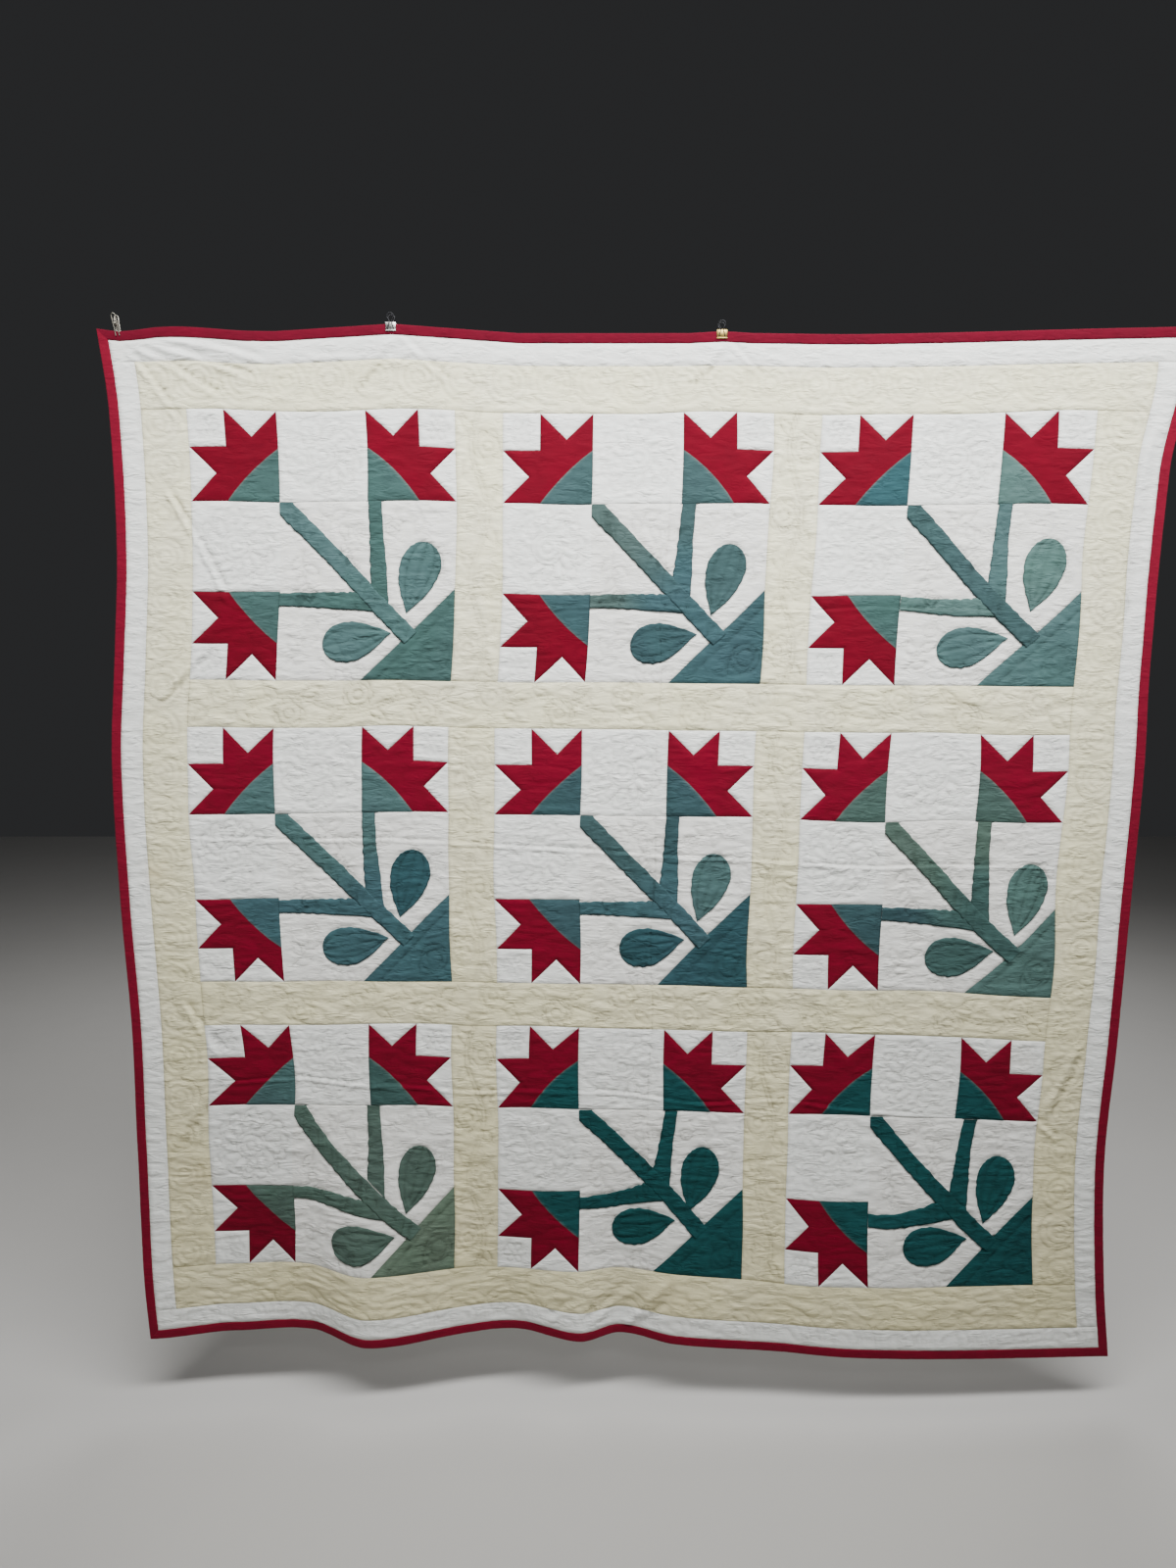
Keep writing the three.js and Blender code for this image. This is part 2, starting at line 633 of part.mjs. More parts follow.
const pegSpringRise = (PEG_SPRING_AT + PEG_BELOW_EDGE) / (PEG_ABOVE_EDGE + PEG_BELOW_EDGE);
const pegSpringRadius = JAW + PEG_SPREAD * pegSpringRise - GAP;
const pegSpring = new THREE.CylinderGeometry(
  pegSpringRadius,
  pegSpringRadius,
  PEG_SPRING_LENGTH,
  PEG_SPRING_SIDES,
);
pegSpring.rotateZ(Math.PI / 2);
pegSpring.translate(0, 0, PEG_SPRING_AT);

const peg = new THREE.Group();
peg.position.copy(hang(PEG_ACROSS, 0));
peg.rotation.y = PEG_LEAN;
peg.add(addPiece("peg_front", pegHalf(-1), BRIGHT_WIRE, METAL));
peg.add(addPiece("peg_rear", pegHalf(1), BRIGHT_WIRE, METAL));
peg.add(addPiece("peg_spring", pegSpring, BRIGHT_WIRE, METAL));
quilt.add(peg);

export default quilt;
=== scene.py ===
"""Looks of a hand-quilted lily quilt that hangs by its top edge from small clips."""

import logging
import math
from collections.abc import Callable, Iterable, Sequence
from dataclasses import dataclass, field, replace
from enum import Enum

import bpy
import numpy as np
from mathutils import Matrix, Vector
from mathutils.kdtree import KDTree


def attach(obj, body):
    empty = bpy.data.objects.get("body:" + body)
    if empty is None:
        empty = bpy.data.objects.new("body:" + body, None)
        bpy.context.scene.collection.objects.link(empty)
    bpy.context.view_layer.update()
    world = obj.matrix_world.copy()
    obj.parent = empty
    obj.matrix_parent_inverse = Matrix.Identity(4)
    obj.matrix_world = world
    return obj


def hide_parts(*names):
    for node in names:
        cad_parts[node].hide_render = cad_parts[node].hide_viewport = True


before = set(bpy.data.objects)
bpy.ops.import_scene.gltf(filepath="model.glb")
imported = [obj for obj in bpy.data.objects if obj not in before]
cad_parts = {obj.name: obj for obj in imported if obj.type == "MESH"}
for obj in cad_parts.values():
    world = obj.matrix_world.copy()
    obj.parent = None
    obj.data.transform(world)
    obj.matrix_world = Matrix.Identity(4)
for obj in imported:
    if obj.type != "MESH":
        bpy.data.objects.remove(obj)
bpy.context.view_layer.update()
BODY = "root"

logging.basicConfig(level=logging.INFO, format="%(name)s: %(message)s")
log = logging.getLogger("lily_quilt")

Array = np.ndarray
Colour = tuple[float, float, float]
Line = np.ndarray
Point = tuple[float, float]
Points = Sequence[Point]
Pair = tuple[Array, Array]
Sewn = tuple[Array, Array, int]
Piece = bpy.types.Object
Material = bpy.types.Material
Socket = bpy.types.NodeSocket
Sockets = dict[str | int, object]

PETAL_ROUND = 0.75
LEAF_ROUND = 0.8
SEEDS = {"stem_long": 7.0, "stem_upright": 17.0, "stem_side": 27.0, "leaf_upper": 37.0, "leaf_lower": 47.0}


def linear(red: int, green: int, blue: int) -> Colour:
    """A screen's red, green and blue, each 0 to 255, as the shares of light that the shaders count."""
    return tuple(((c / 255 + 0.055) / 1.055) ** 2.4 if c > 10 else c / 3294 for c in (red, green, blue))


def bump(t: Array) -> Array:
    """One at the middle of a bump, falling smoothly to nothing where t reaches one."""
    return np.where(t >= 1, 0.0, (1 - t) ** 2 * (1 + 2 * t))


def rise(t: Array) -> Array:
    """Nothing below t of nought, then a smooth rise to one where t reaches one."""
    t = np.clip(t, 0.0, 1.0)
    return t * t * (3 - 2 * t)


class Cloth(Enum):
    """The cloths of the quilt, by the record's material slot."""

    WHITE = "white_cotton"
    CREAM = "cream_cotton"
    RED = "red_cotton"
    GREEN = "green_cotton"


class Dye(Enum):
    """Dye lots, as a screen shows them by day, and the colour of one painted highlight."""

    WHITE = (232, 234, 230)
    GREY_WHITE = (228, 228, 223)
    PALE_CREAM = (231, 228, 200)
    CREAM = (221, 214, 177)
    BACKING = (226, 222, 208)
    RED = (100, 2, 26)
    CHERRY = (108, 3, 31)
    BINDING = (115, 13, 38)
    GARNET = (92, 7, 30)
    SEA = (60, 86, 84)
    MINT = (77, 103, 100)
    MIST = (70, 96, 97)
    LAKE = (58, 86, 93)
    SAGE = (78, 97, 89)
    LICHEN = (97, 112, 98)
    SLATE = (54, 79, 85)
    TEAL = (51, 75, 80)
    PINE = (45, 75, 82)
    OLIVE = (67, 88, 83)
    BOTTLE = (23, 70, 72)
    FERN = (56, 79, 81)
    ASH = (68, 86, 84)
    # Painted highlight: the pale of light catching the calyx's folded edge, not a dye lot.
    FOLD_HIGHLIGHT = (132, 122, 118)

    @property
    def light(self) -> Array:
        """The dye as the shaders count it."""
        return np.array(linear(*self.value))


@dataclass(frozen=True)
class Layout:
    """The flat quilt: blocks parted by sashes, in a cream border, a white border and a binding."""

    blocks: int = 3
    units: int = 3
    block: float = 0.52
    sash: float = 0.0935
    cream: float = 0.09
    white: float = 0.043
    binding: float = 0.02
    tucked: float = 0.006
    step: float = 0.0035

    @property
    def unit(self) -> float:
        """Side of one square of a block."""
        return self.block / self.units

    @property
    def margin(self) -> float:
        """From the quilt's edge to the first block."""
        return self.binding + self.white + self.cream

    @property
    def pitch(self) -> float:
        """From one block to the next."""
        return self.block + self.sash

    @property
    def side(self) -> float:
        """Side of the flat quilt."""
        return self.blocks * self.pitch - self.sash + 2 * self.margin

    @property
    def half(self) -> float:
        """Half the side of the flat quilt."""
        return self.side / 2

    def seams(self) -> list[float]:
        """Where the bands of cloth meet, from one edge of the quilt to the other."""
        near = [self.tucked, self.binding + self.white]
        starts = [self.margin + index * self.pitch for index in range(self.blocks)]
        inner = [at for start in starts for at in (start, start + self.block)]
        return near + inner + [self.side - at for at in reversed(near)]

    def in_block(self, row: int, column: int, right: float = 0.0, down: float = 0.0) -> Point:
        """A place in a block, in units right and down, as a place on the flat quilt."""
        across = self.margin + column * self.pitch + right * self.unit - self.half
        return across, self.margin + row * self.pitch + down * self.unit

    def inset(self, across: Array, down: Array) -> Array:
        """How far each point lies inside the nearest edge of the quilt."""
        return self.half - np.maximum(np.abs(across), np.abs(down - self.half))

    def lines(self, first: int, last: int) -> Array:
        """Mesh lines over a run of bands.

        Args:
            first: The first band.
            last: The band after the last one.

        Returns:
            The places of the lines, from the quilt's edge.
        """
        seams = self.seams()
        runs = []
        for low, high in zip(seams[first:last], seams[first + 1:last + 1]):
            runs.append(np.linspace(low, high, round((high - low) / self.step), endpoint=False))
        return np.append(np.concatenate(runs), seams[last])


@dataclass(frozen=True)
class Level:
    """How far the cloth is shifted at one level below the top edge."""

    down: float
    left: float
    middle: float
    right: float


@dataclass(frozen=True)
class Pull:
    """Where the top edge is pulled up or sags, and how far down that reaches."""

    across: float
    left: float
    right: float
    lift: float
    fade: float
    pinched: bool


@dataclass(frozen=True)
class Fold:
    """A fold that runs up from the hem, and how far it comes forward and drops there."""

    across: float
    left: float
    right: float
    forward: float
    drop: float
    rise: float
    pinched: bool = False


@dataclass(frozen=True)
class Swell:
    """A soft swell of the hanging cloth."""

    across: float
    down: float
    wide: float
    high: float
    forward: float


@dataclass(frozen=True)
class Nudge:
    """Where hand piecing is off: a place in a block, in units, and how far it is pushed right and down."""

    row: int
    column: int
    right: float
    down: float
    push_right: float
    push_down: float


class Grain:
    """Smooth seeded noise over the flat quilt."""

    def __init__(self, seed: int, size: int = 512) -> None:
        """Draws the grid of a pattern that repeats after so many cells."""
        self.size = size
        self.values = np.random.default_rng(seed).uniform(-1, 1, (size, size))

    def at(self, u: Array, v: Array) -> Array:
        """The noise at places counted in cells.

        Args:
            u: Places along the first side.
            v: Places along the second side.

        Returns:
            Values from minus one to one.
        """
        i, j = np.floor(u).astype(int), np.floor(v).astype(int)
        s, t = rise(u - i), rise(v - j)
        i0, j0, i1, j1 = (k % self.size for k in (i, j, i + 1, j + 1))
        first = self.values[i0, j0] * (1 - t) + self.values[i0, j1] * t
        second = self.values[i1, j0] * (1 - t) + self.values[i1, j1] * t
        return first * (1 - s) + second * s


@dataclass(frozen=True)
class Hang:
    """The shape in which the flat quilt hangs."""

    layout: Layout
    drawn: tuple[Level, ...] = (
        Level(0.0, -0.008, 0.0, 0.013), Level(0.15, 0.008, 0.0, 0.01),
        Level(0.42, 0.01, -0.004, -0.004), Level(0.64, -0.006, -0.014, -0.011),
        Level(0.83, -0.021, -0.026, -0.01), Level(1.13, -0.018, -0.026, -0.022),
        Level(1.39, -0.008, -0.025, -0.032), Level(1.64, -0.009, -0.027, -0.045),
        Level(1.9, -0.004, -0.031, -0.036), Level(2.053, 0.006, -0.028, -0.02),
    )
    lifted: tuple[Level, ...] = (
        Level(0.0, 0.009, 0.0, 0.012), Level(0.15, 0.011, 0.004, 0.007),
        Level(0.673, 0.014, 0.008, -0.002), Level(1.026, 0.008, 0.008, -0.01),
        Level(1.39, 0.01, 0.004, -0.027), Level(1.9, 0.01, 0.003, -0.022),
        Level(2.053, 0.01, 0.008, -0.03),
    )
    pulls: tuple[Pull, ...] = (
        Pull(-0.9865, 0.044, 0.07, -0.005, 0.06, True), Pull(-0.87, 0.11, 0.14, 0.006, 0.15, False),
        Pull(-0.468, 0.22, 0.24, 0.016, 0.19, True), Pull(0.158, 0.06, 0.06, 0.003, 0.08, True),
        Pull(0.42, 0.26, 0.52, -0.004, 0.26, False),
    )
    folds: tuple[Fold, ...] = (
        Fold(-1.0265, 0.19, 0.19, 0.02, 0.005, 0.42), Fold(-0.72, 0.12, 0.09, -0.009, 0.0, 0.32),
        Fold(-0.54, 0.135, 0.27, 0.045, 0.014, 0.48), Fold(-0.238, 0.09, 0.08, -0.009, 0.0, 0.26),
        Fold(-0.085, 0.125, 0.084, 0.026, 0.007, 0.28), Fold(0.12, 0.116, 0.26, 0.018, 0.007, 0.33),
        Fold(0.5, 0.51, 0.9, 0.045, 0.016, 0.56),
    )
    swells: tuple[Swell, ...] = (
        Swell(0.33, 0.86, 0.52, 0.62, 0.009), Swell(-0.52, 1.12, 0.42, 0.56, -0.007),
        Swell(-0.25, 0.42, 0.48, 0.36, 0.006),
    )
    nudges: tuple[Nudge, ...] = (
        Nudge(0, 0, 0.5, 0.5, 0.0, -0.005), Nudge(0, 0, 2.5, 0.5, 0.003, -0.008),
        Nudge(0, 1, 2.5, 0.5, 0.004, -0.006), Nudge(0, 1, 0.5, 2.5, 0.003, 0.004),
        Nudge(0, 2, 2.5, 0.5, 0.005, -0.007), Nudge(0, 2, 0.5, 2.5, -0.007, 0.001),
        Nudge(0, 2, 2.9, 2.5, 0.01, 0.002), Nudge(0, 2, 3.75, -0.5, 0.024, 0.0),
        Nudge(1, 0, 2.5, 0.5, 0.008, -0.006), Nudge(1, 1, 0.6, 0.5, 0.005, 0.0),
        Nudge(1, 1, 2.9, 2.7, -0.006, 0.0), Nudge(1, 2, 0.8, 0.9, -0.005, 0.009),
        Nudge(1, 2, 2.5, 0.5, 0.006, 0.005), Nudge(1, 2, 0.5, 2.5, -0.006, 0.002),
        Nudge(1, 2, 2.8, 2.7, 0.009, 0.007), Nudge(2, 0, 0.8, 0.7, 0.015, -0.006),
        Nudge(2, 0, 2.4, 0.5, -0.007, -0.009), Nudge(2, 0, 0.5, 2.5, 0.006, -0.003),
        Nudge(2, 1, 0.5, 0.5, -0.007, -0.007), Nudge(2, 1, 0.5, 2.5, 0.0, 0.011),
        Nudge(2, 2, 0.5, 0.5, -0.006, -0.003), Nudge(2, 2, 2.5, 0.6, 0.009, 0.0),
        Nudge(2, 2, 0.5, 2.5, -0.006, 0.008),
    )
    nudge_reach: float = 0.2
    near: float = 0.002
    uneven: float = 0.002
    uneven_cell: float = 0.12
    uneven_from: float = 0.03
    uneven_full: float = 0.12
    grain_right: Grain = Grain(11)
    grain_down: Grain = Grain(12)

    @staticmethod
    def level(rows: Sequence[Level], column: str, down: Array) -> Array:
        """A smooth curve through a column of a table.

        Args:
            rows: The table, from the top edge down.
            column: The column's name.
            down: Distances below the top edge.

        Returns:
            The column's value at each distance.
        """
        places = np.array([row.down for row in rows])
        values = np.array([getattr(row, column) for row in rows])
        order = np.arange(len(rows))
        before, after = np.maximum(order - 1, 0), np.minimum(order + 1, len(rows) - 1)
        slopes = (values[after] - values[before]) / (places[after] - places[before])
        i = np.clip(np.searchsorted(places, down) - 1, 0, len(rows) - 2)
        step = places[i + 1] - places[i]
        t = (down - places[i]) / step
        start = values[i] * (1 + 2 * t) + slopes[i] * step * t
        end = values[i + 1] * (3 - 2 * t) - slopes[i + 1] * step * (1 - t)
        return start * (1 - t) ** 2 + end * t ** 2

    def bent(self, rows: Sequence[Level], across: Array, down: Array) -> Array:
        """A table's value over the cloth, bent smoothly through its left, middle and right."""
        t = across / self.layout.half
        left, middle, right = (self.level(rows, name, down) for name in ("left", "middle", "right"))
        return middle + t * (right - left) / 2 + t * t * ((right + left) / 2 - middle)

    @staticmethod
    def share(row: Pull | Fold, across: Array) -> Array:
        """How much of a pull or fold a place along it takes."""
        away = across - row.across
        t = np.where(away < 0, -away / row.left, away / row.right)
        return np.maximum(0, 1 - t) if row.pinched else bump(t)

    def pieced(self, across: Array, down: Array) -> Pair:
        """Flat places pushed about a little, as hand-pieced cloth is.

        Args:
            across: Places from the middle.
            down: Places below the top edge.

        Returns:
            The pushed places, across and down.
        """
        inside = self.layout.inset(across, down) - self.uneven_from
        much = self.uneven * rise(inside / (self.uneven_full - self.uneven_from))
        u, v = across / self.uneven_cell, down / self.uneven_cell
        right, lower = much * self.grain_right.at(u, v), much * self.grain_down.at(u, v)
        for nudge in self.nudges:
            middle = self.layout.in_block(nudge.row, nudge.column, nudge.right, nudge.down)
            strength = bump(np.hypot(across - middle[0], down - middle[1]) / self.nudge_reach)
            right = right + nudge.push_right * strength
            lower = lower + nudge.push_down * strength
        return across + right, down + lower

    def place(self, across: Array, down: Array) -> Array:
        """Where points of the flat quilt hang.

        Args:
            across: Places from the middle.
            down: Places below the top edge.

        Returns:
            One row of x, y and z for each point.
        """
        across, down = self.pieced(across, down)
        x = across + self.bent(self.drawn, across, down)
        z = -down + self.bent(self.lifted, across, down)
        forward = np.zeros_like(x)
        for pull in self.pulls:
            z = z + pull.lift * self.share(pull, across) * bump(down / pull.fade)
        for fold in self.folds:
            strength = self.share(fold, across) * bump((self.layout.side - down) / fold.rise)
            forward = forward + fold.forward * strength
            z = z - fold.drop * strength
        for swell in self.swells:
            wide = np.abs(across - swell.across) / swell.wide
            high = np.abs(down - swell.down) / swell.high
            forward = forward + swell.forward * bump(wide) * bump(high)
        return np.stack([x, -forward, z], axis=1)

    def on_cloth(self, across: Array, down: Array, height: Array) -> Array:
        """Points at a height above the middle of the hanging cloth.

        Args:
            across: Places from the middle.
            down: Places below the top edge.
            height: How far towards the front each point stands.

        Returns:
            One row of x, y and z for each point.
        """
        right = self.place(across + self.near, down) - self.place(across - self.near, down)
        below = self.place(across, down + self.near) - self.place(across, down - self.near)
        facing = np.cross(below, right)
        facing /= np.linalg.norm(facing, axis=1, keepdims=True)
        return self.place(across, down) + facing * height[:, None]


def grid_quads(rows: int, columns: int) -> Array:
    """The corners of each face of a grid of points that is counted row by row."""
    first = (np.arange(rows - 1)[:, None] * columns + np.arange(columns - 1)).ravel()
    return np.stack([first, first + 1, first + columns + 1, first + columns], axis=1)


@dataclass
class FlatCloth:
    """Cloth laid flat: its points, its faces, its dye, and how far each point lies from a seam."""

    across: Array
    down: Array
    seam: Array
    corners: Array
    counts: Array
    dye: Array
    lift: Array
    crimp: Array

    @classmethod
    def from_lines(cls, across: Array, down: Array, dye: Dye) -> "FlatCloth":
        """A rectangle of cloth over mesh lines, sewn all round.

        Args:
            across: Mesh lines across, from the middle of the quilt.
            down: Mesh lines below the top edge.
            dye: The cloth's dye.

        Returns:
            The cloth.
        """
        columns, rows = len(across), len(down)
        wide, high = np.tile(across, rows), np.repeat(down, columns)
        sides = (wide - across[0], across[-1] - wide, high - down[0], down[-1] - high)
        quads = grid_quads(rows, columns)[:, [0, 3, 2, 1]]
        colour, flat = tinted(dye, wide), np.zeros_like(wide)
        counts = np.full(len(quads), 4)
        return cls(wide, high, np.minimum.reduce(sides), quads.ravel(), counts, colour, flat, flat)

    @classmethod
    def joined(cls, cloths: Iterable["FlatCloth"]) -> "FlatCloth":
        """Several cloths as one, each keeping its own points."""
        cloths = list(cloths)
        starts = np.cumsum([0] + [len(cloth.across) for cloth in cloths[:-1]])
        corners = [cloth.corners + start for cloth, start in zip(cloths, starts)]
        others = ("across", "down", "seam", "counts", "dye", "lift", "crimp")
        parts = {name: np.concatenate([getattr(cloth, name) for cloth in cloths]) for name in others}
        return cls(corners=np.concatenate(corners), **parts)


def tinted(dye: Dye, like: Array) -> Array:
    """A dye for each point of a cloth."""
    return np.tile(dye.light, (len(like), 1))


def faded(cloth: FlatCloth, top: Dye, foot: Dye, length: float) -> FlatCloth:
    """A cloth with one dye at the quilt's top and another at its foot, a length below."""
    share = rise(cloth.down / length)[:, None]
    return replace(cloth, dye=top.light * (1 - share) + foot.light * share)


def new_mesh(name: str, places: Array, corners: Array, counts: Array) -> Piece:
    """A mesh object from arrays, smooth all over.

    Args:
        name: The object's name.
        places: One row of x, y and z for each point.
        corners: The point at each corner of each face.
        counts: How many corners each face has.

    Returns:
        The object, linked to the scene.
    """
    mesh = bpy.data.meshes.new(name)
    mesh.vertices.add(len(places))
    mesh.vertices.foreach_set("co", places.astype(np.float32).ravel())
    mesh.loops.add(len(corners))
    mesh.loops.foreach_set("vertex_index", corners.astype(np.int32))
    mesh.polygons.add(len(counts))
    starts = np.cumsum(counts) - counts
    mesh.polygons.foreach_set("loop_start", starts.astype(np.int32))
    mesh.polygons.foreach_set("use_smooth", np.ones(len(counts), dtype=bool))
    mesh.update(calc_edges=True)
    mesh.validate()
    piece = bpy.data.objects.new(name, mesh)
    bpy.context.scene.collection.objects.link(piece)
    return piece


def paint(piece: Piece, dye: Array, ditch: Array, stain: Array) -> None:
    """Gives each point of a piece its dye, its depth in the stitching and its stain.

    Args:
        piece: The piece.
        dye: One colour a point.
        ditch: One in the bottom of a seam or stitched line, nothing on a puff; the finish paints it darker,
            as soil and shade.
        stain: How stained each point is.
    """
    colours = piece.data.attributes.new("dye", "FLOAT_COLOR", "POINT")
    full = np.concatenate([dye, np.ones((len(dye), 1))], axis=1)
    colours.data.foreach_set("color", full.astype(np.float32).ravel())
    for name, values in (("ditch", ditch), ("stain", stain)):
        layer = piece.data.attributes.new(name, "FLOAT", "POINT")
        layer.data.foreach_set("value", values.astype(np.float32))


def select_none() -> None:
    """Leaves object mode with nothing selected."""
    if bpy.context.object and bpy.context.object.mode != "OBJECT":
        bpy.ops.object.mode_set(mode="OBJECT")
    bpy.ops.object.select_all(action="DESELECT")


def finish_piece(piece: Piece, material: Material, slot: str, *nodes: str) -> None:
    """Dresses a piece, logs its slot, hides the solids it stands for, and lets it ride.

    Args:
        piece: The piece, at its place.
        material: Its finish.
        slot: The record's material slot.
        nodes: The solids that it stands for.
    """
    piece.data.materials.clear()
    piece.data.materials.append(material)
    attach(piece, BODY)
    if nodes:
        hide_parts(*nodes)
    log.info("%s: %d faces, %s", piece.name, len(piece.data.polygons), slot)


@dataclass(frozen=True)
class Block:
    """One block: the head and foot of each side stem off a straight run, the side stem's sag, the long
    stem's bow, how far right and down each leaf lies, how far the base passes its unit, and the dyes."""

    row: int
    column: int
    upright: Point
    side: Point
    sag: float
    bow: float
    upper: Point
    lower: Point
    base: float
    green: Dye
    others: dict[str, Dye] = field(default_factory=dict)

    @property
    def label(self) -> str:
        """The block's place, as the solids are named."""
        return f"{self.row + 1}{self.column + 1}"

    @property
    def red(self) -> Dye:
        """The lilies' red, less faded below the top row."""
        return Dye.RED if self.row == 0 else Dye.CHERRY

    def dye(self, part: str) -> Dye:
        """The dye lot of a part."""
        return self.others.get(part, self.green)


BLOCKS = (
    Block(
        0, 0, (0.001, 0.015), (0.002, 0.007), 0.0, 0.0, (0.006, -0.003), (0.002, 0.003), 0.007, Dye.SEA,
        {"leaf_upper": Dye.MIST, "leaf_lower": Dye.MIST, "stem_long": Dye.MIST},
    ),
    Block(
        0, 1, (0.001, -0.006), (0.0, 0.006), 0.0, 0.0, (-0.005, -0.003), (-0.004, 0.002), 0.008, Dye.FERN,
        {"base": Dye.SLATE, "stem_long": Dye.ASH, "stem_upright": Dye.FERN, "stem_side": Dye.ASH,
         "leaf_upper": Dye.FERN, "leaf_lower": Dye.TEAL, "calyx_low": Dye.TEAL, "foot": Dye.SLATE},
    ),
    Block(
        0, 2, (0.002, -0.001), (0.001, 0.008), 0.004, 0.003, (0.003, -0.016), (-0.009, 0.004), 0.012,
        Dye.MINT,
        {"calyx_left": Dye.PINE, "stem_long": Dye.FERN, "stem_upright": Dye.MIST, "calyx_low": Dye.SEA,
         "leaf_lower": Dye.MIST, "base": Dye.MIST},
    ),
    Block(
        1, 0, (0.0, 0.009), (0.003, 0.007), 0.0, 0.0, (-0.003, -0.005), (-0.003, 0.005), 0.01, Dye.LAKE,
        {"calyx_left": Dye.MIST, "calyx_right": Dye.MIST, "stem_long": Dye.MIST, "stem_upright": Dye.MIST,
         "leaf_upper": Dye.PINE, "foot": Dye.LAKE},
    ),
    Block(
        1, 1, (0.0, -0.008), (0.003, 0.005), 0.0, 0.0, (-0.007, -0.003), (-0.007, 0.002), 0.016, Dye.LAKE,
        {"base": Dye.PINE, "leaf_lower": Dye.PINE, "leaf_upper": Dye.MIST, "calyx_left": Dye.TEAL,
         "calyx_right": Dye.TEAL, "calyx_low": Dye.SLATE, "stem_long": Dye.FERN, "stem_upright": Dye.TEAL,
         "foot": Dye.LAKE},
    ),
    Block(
        1, 2, (0.005, 0.01), (0.004, 0.015), 0.0, 0.008, (0.017, 0.008), (0.003, 0.006), 0.0, Dye.OLIVE,
        {"calyx_low": Dye.TEAL, "leaf_lower": Dye.SEA, "stem_side": Dye.TEAL, "base": Dye.MINT,
         "stem_long": Dye.SAGE, "stem_upright": Dye.SAGE, "leaf_upper": Dye.MINT, "foot": Dye.SEA},
    ),
    Block(
        2, 0, (-0.008, -0.006), (0.0, 0.028), 0.0, 0.014, (-0.004, 0.004), (-0.002, 0.017), 0.004, Dye.SAGE,
        {"calyx_left": Dye.MIST, "calyx_right": Dye.SEA, "calyx_low": Dye.SAGE, "base": Dye.LICHEN},
    ),
    Block(
        2, 1, (0.003, -0.014), (0.013, -0.01), 0.005, -0.005, (-0.016, -0.002), (-0.018, -0.015), 0.014,
        Dye.BOTTLE,
    ),
    Block(
        2, 2, (0.018, 0.0), (0.022, -0.002), 0.012, 0.007, (-0.006, -0.002), (-0.015, -0.005), 0.013,
        Dye.BOTTLE,
    ),
)


@dataclass(frozen=True)
class Patch:
    """A patch of the pieced block: its part, its cloth, its outline in units right and down, and the
    edges of the outline that show as seams, or none named where all do."""

    part: str
    cloth: Cloth
    outline: Points
    seams: tuple[int, ...] = ()
    raised: bool = False


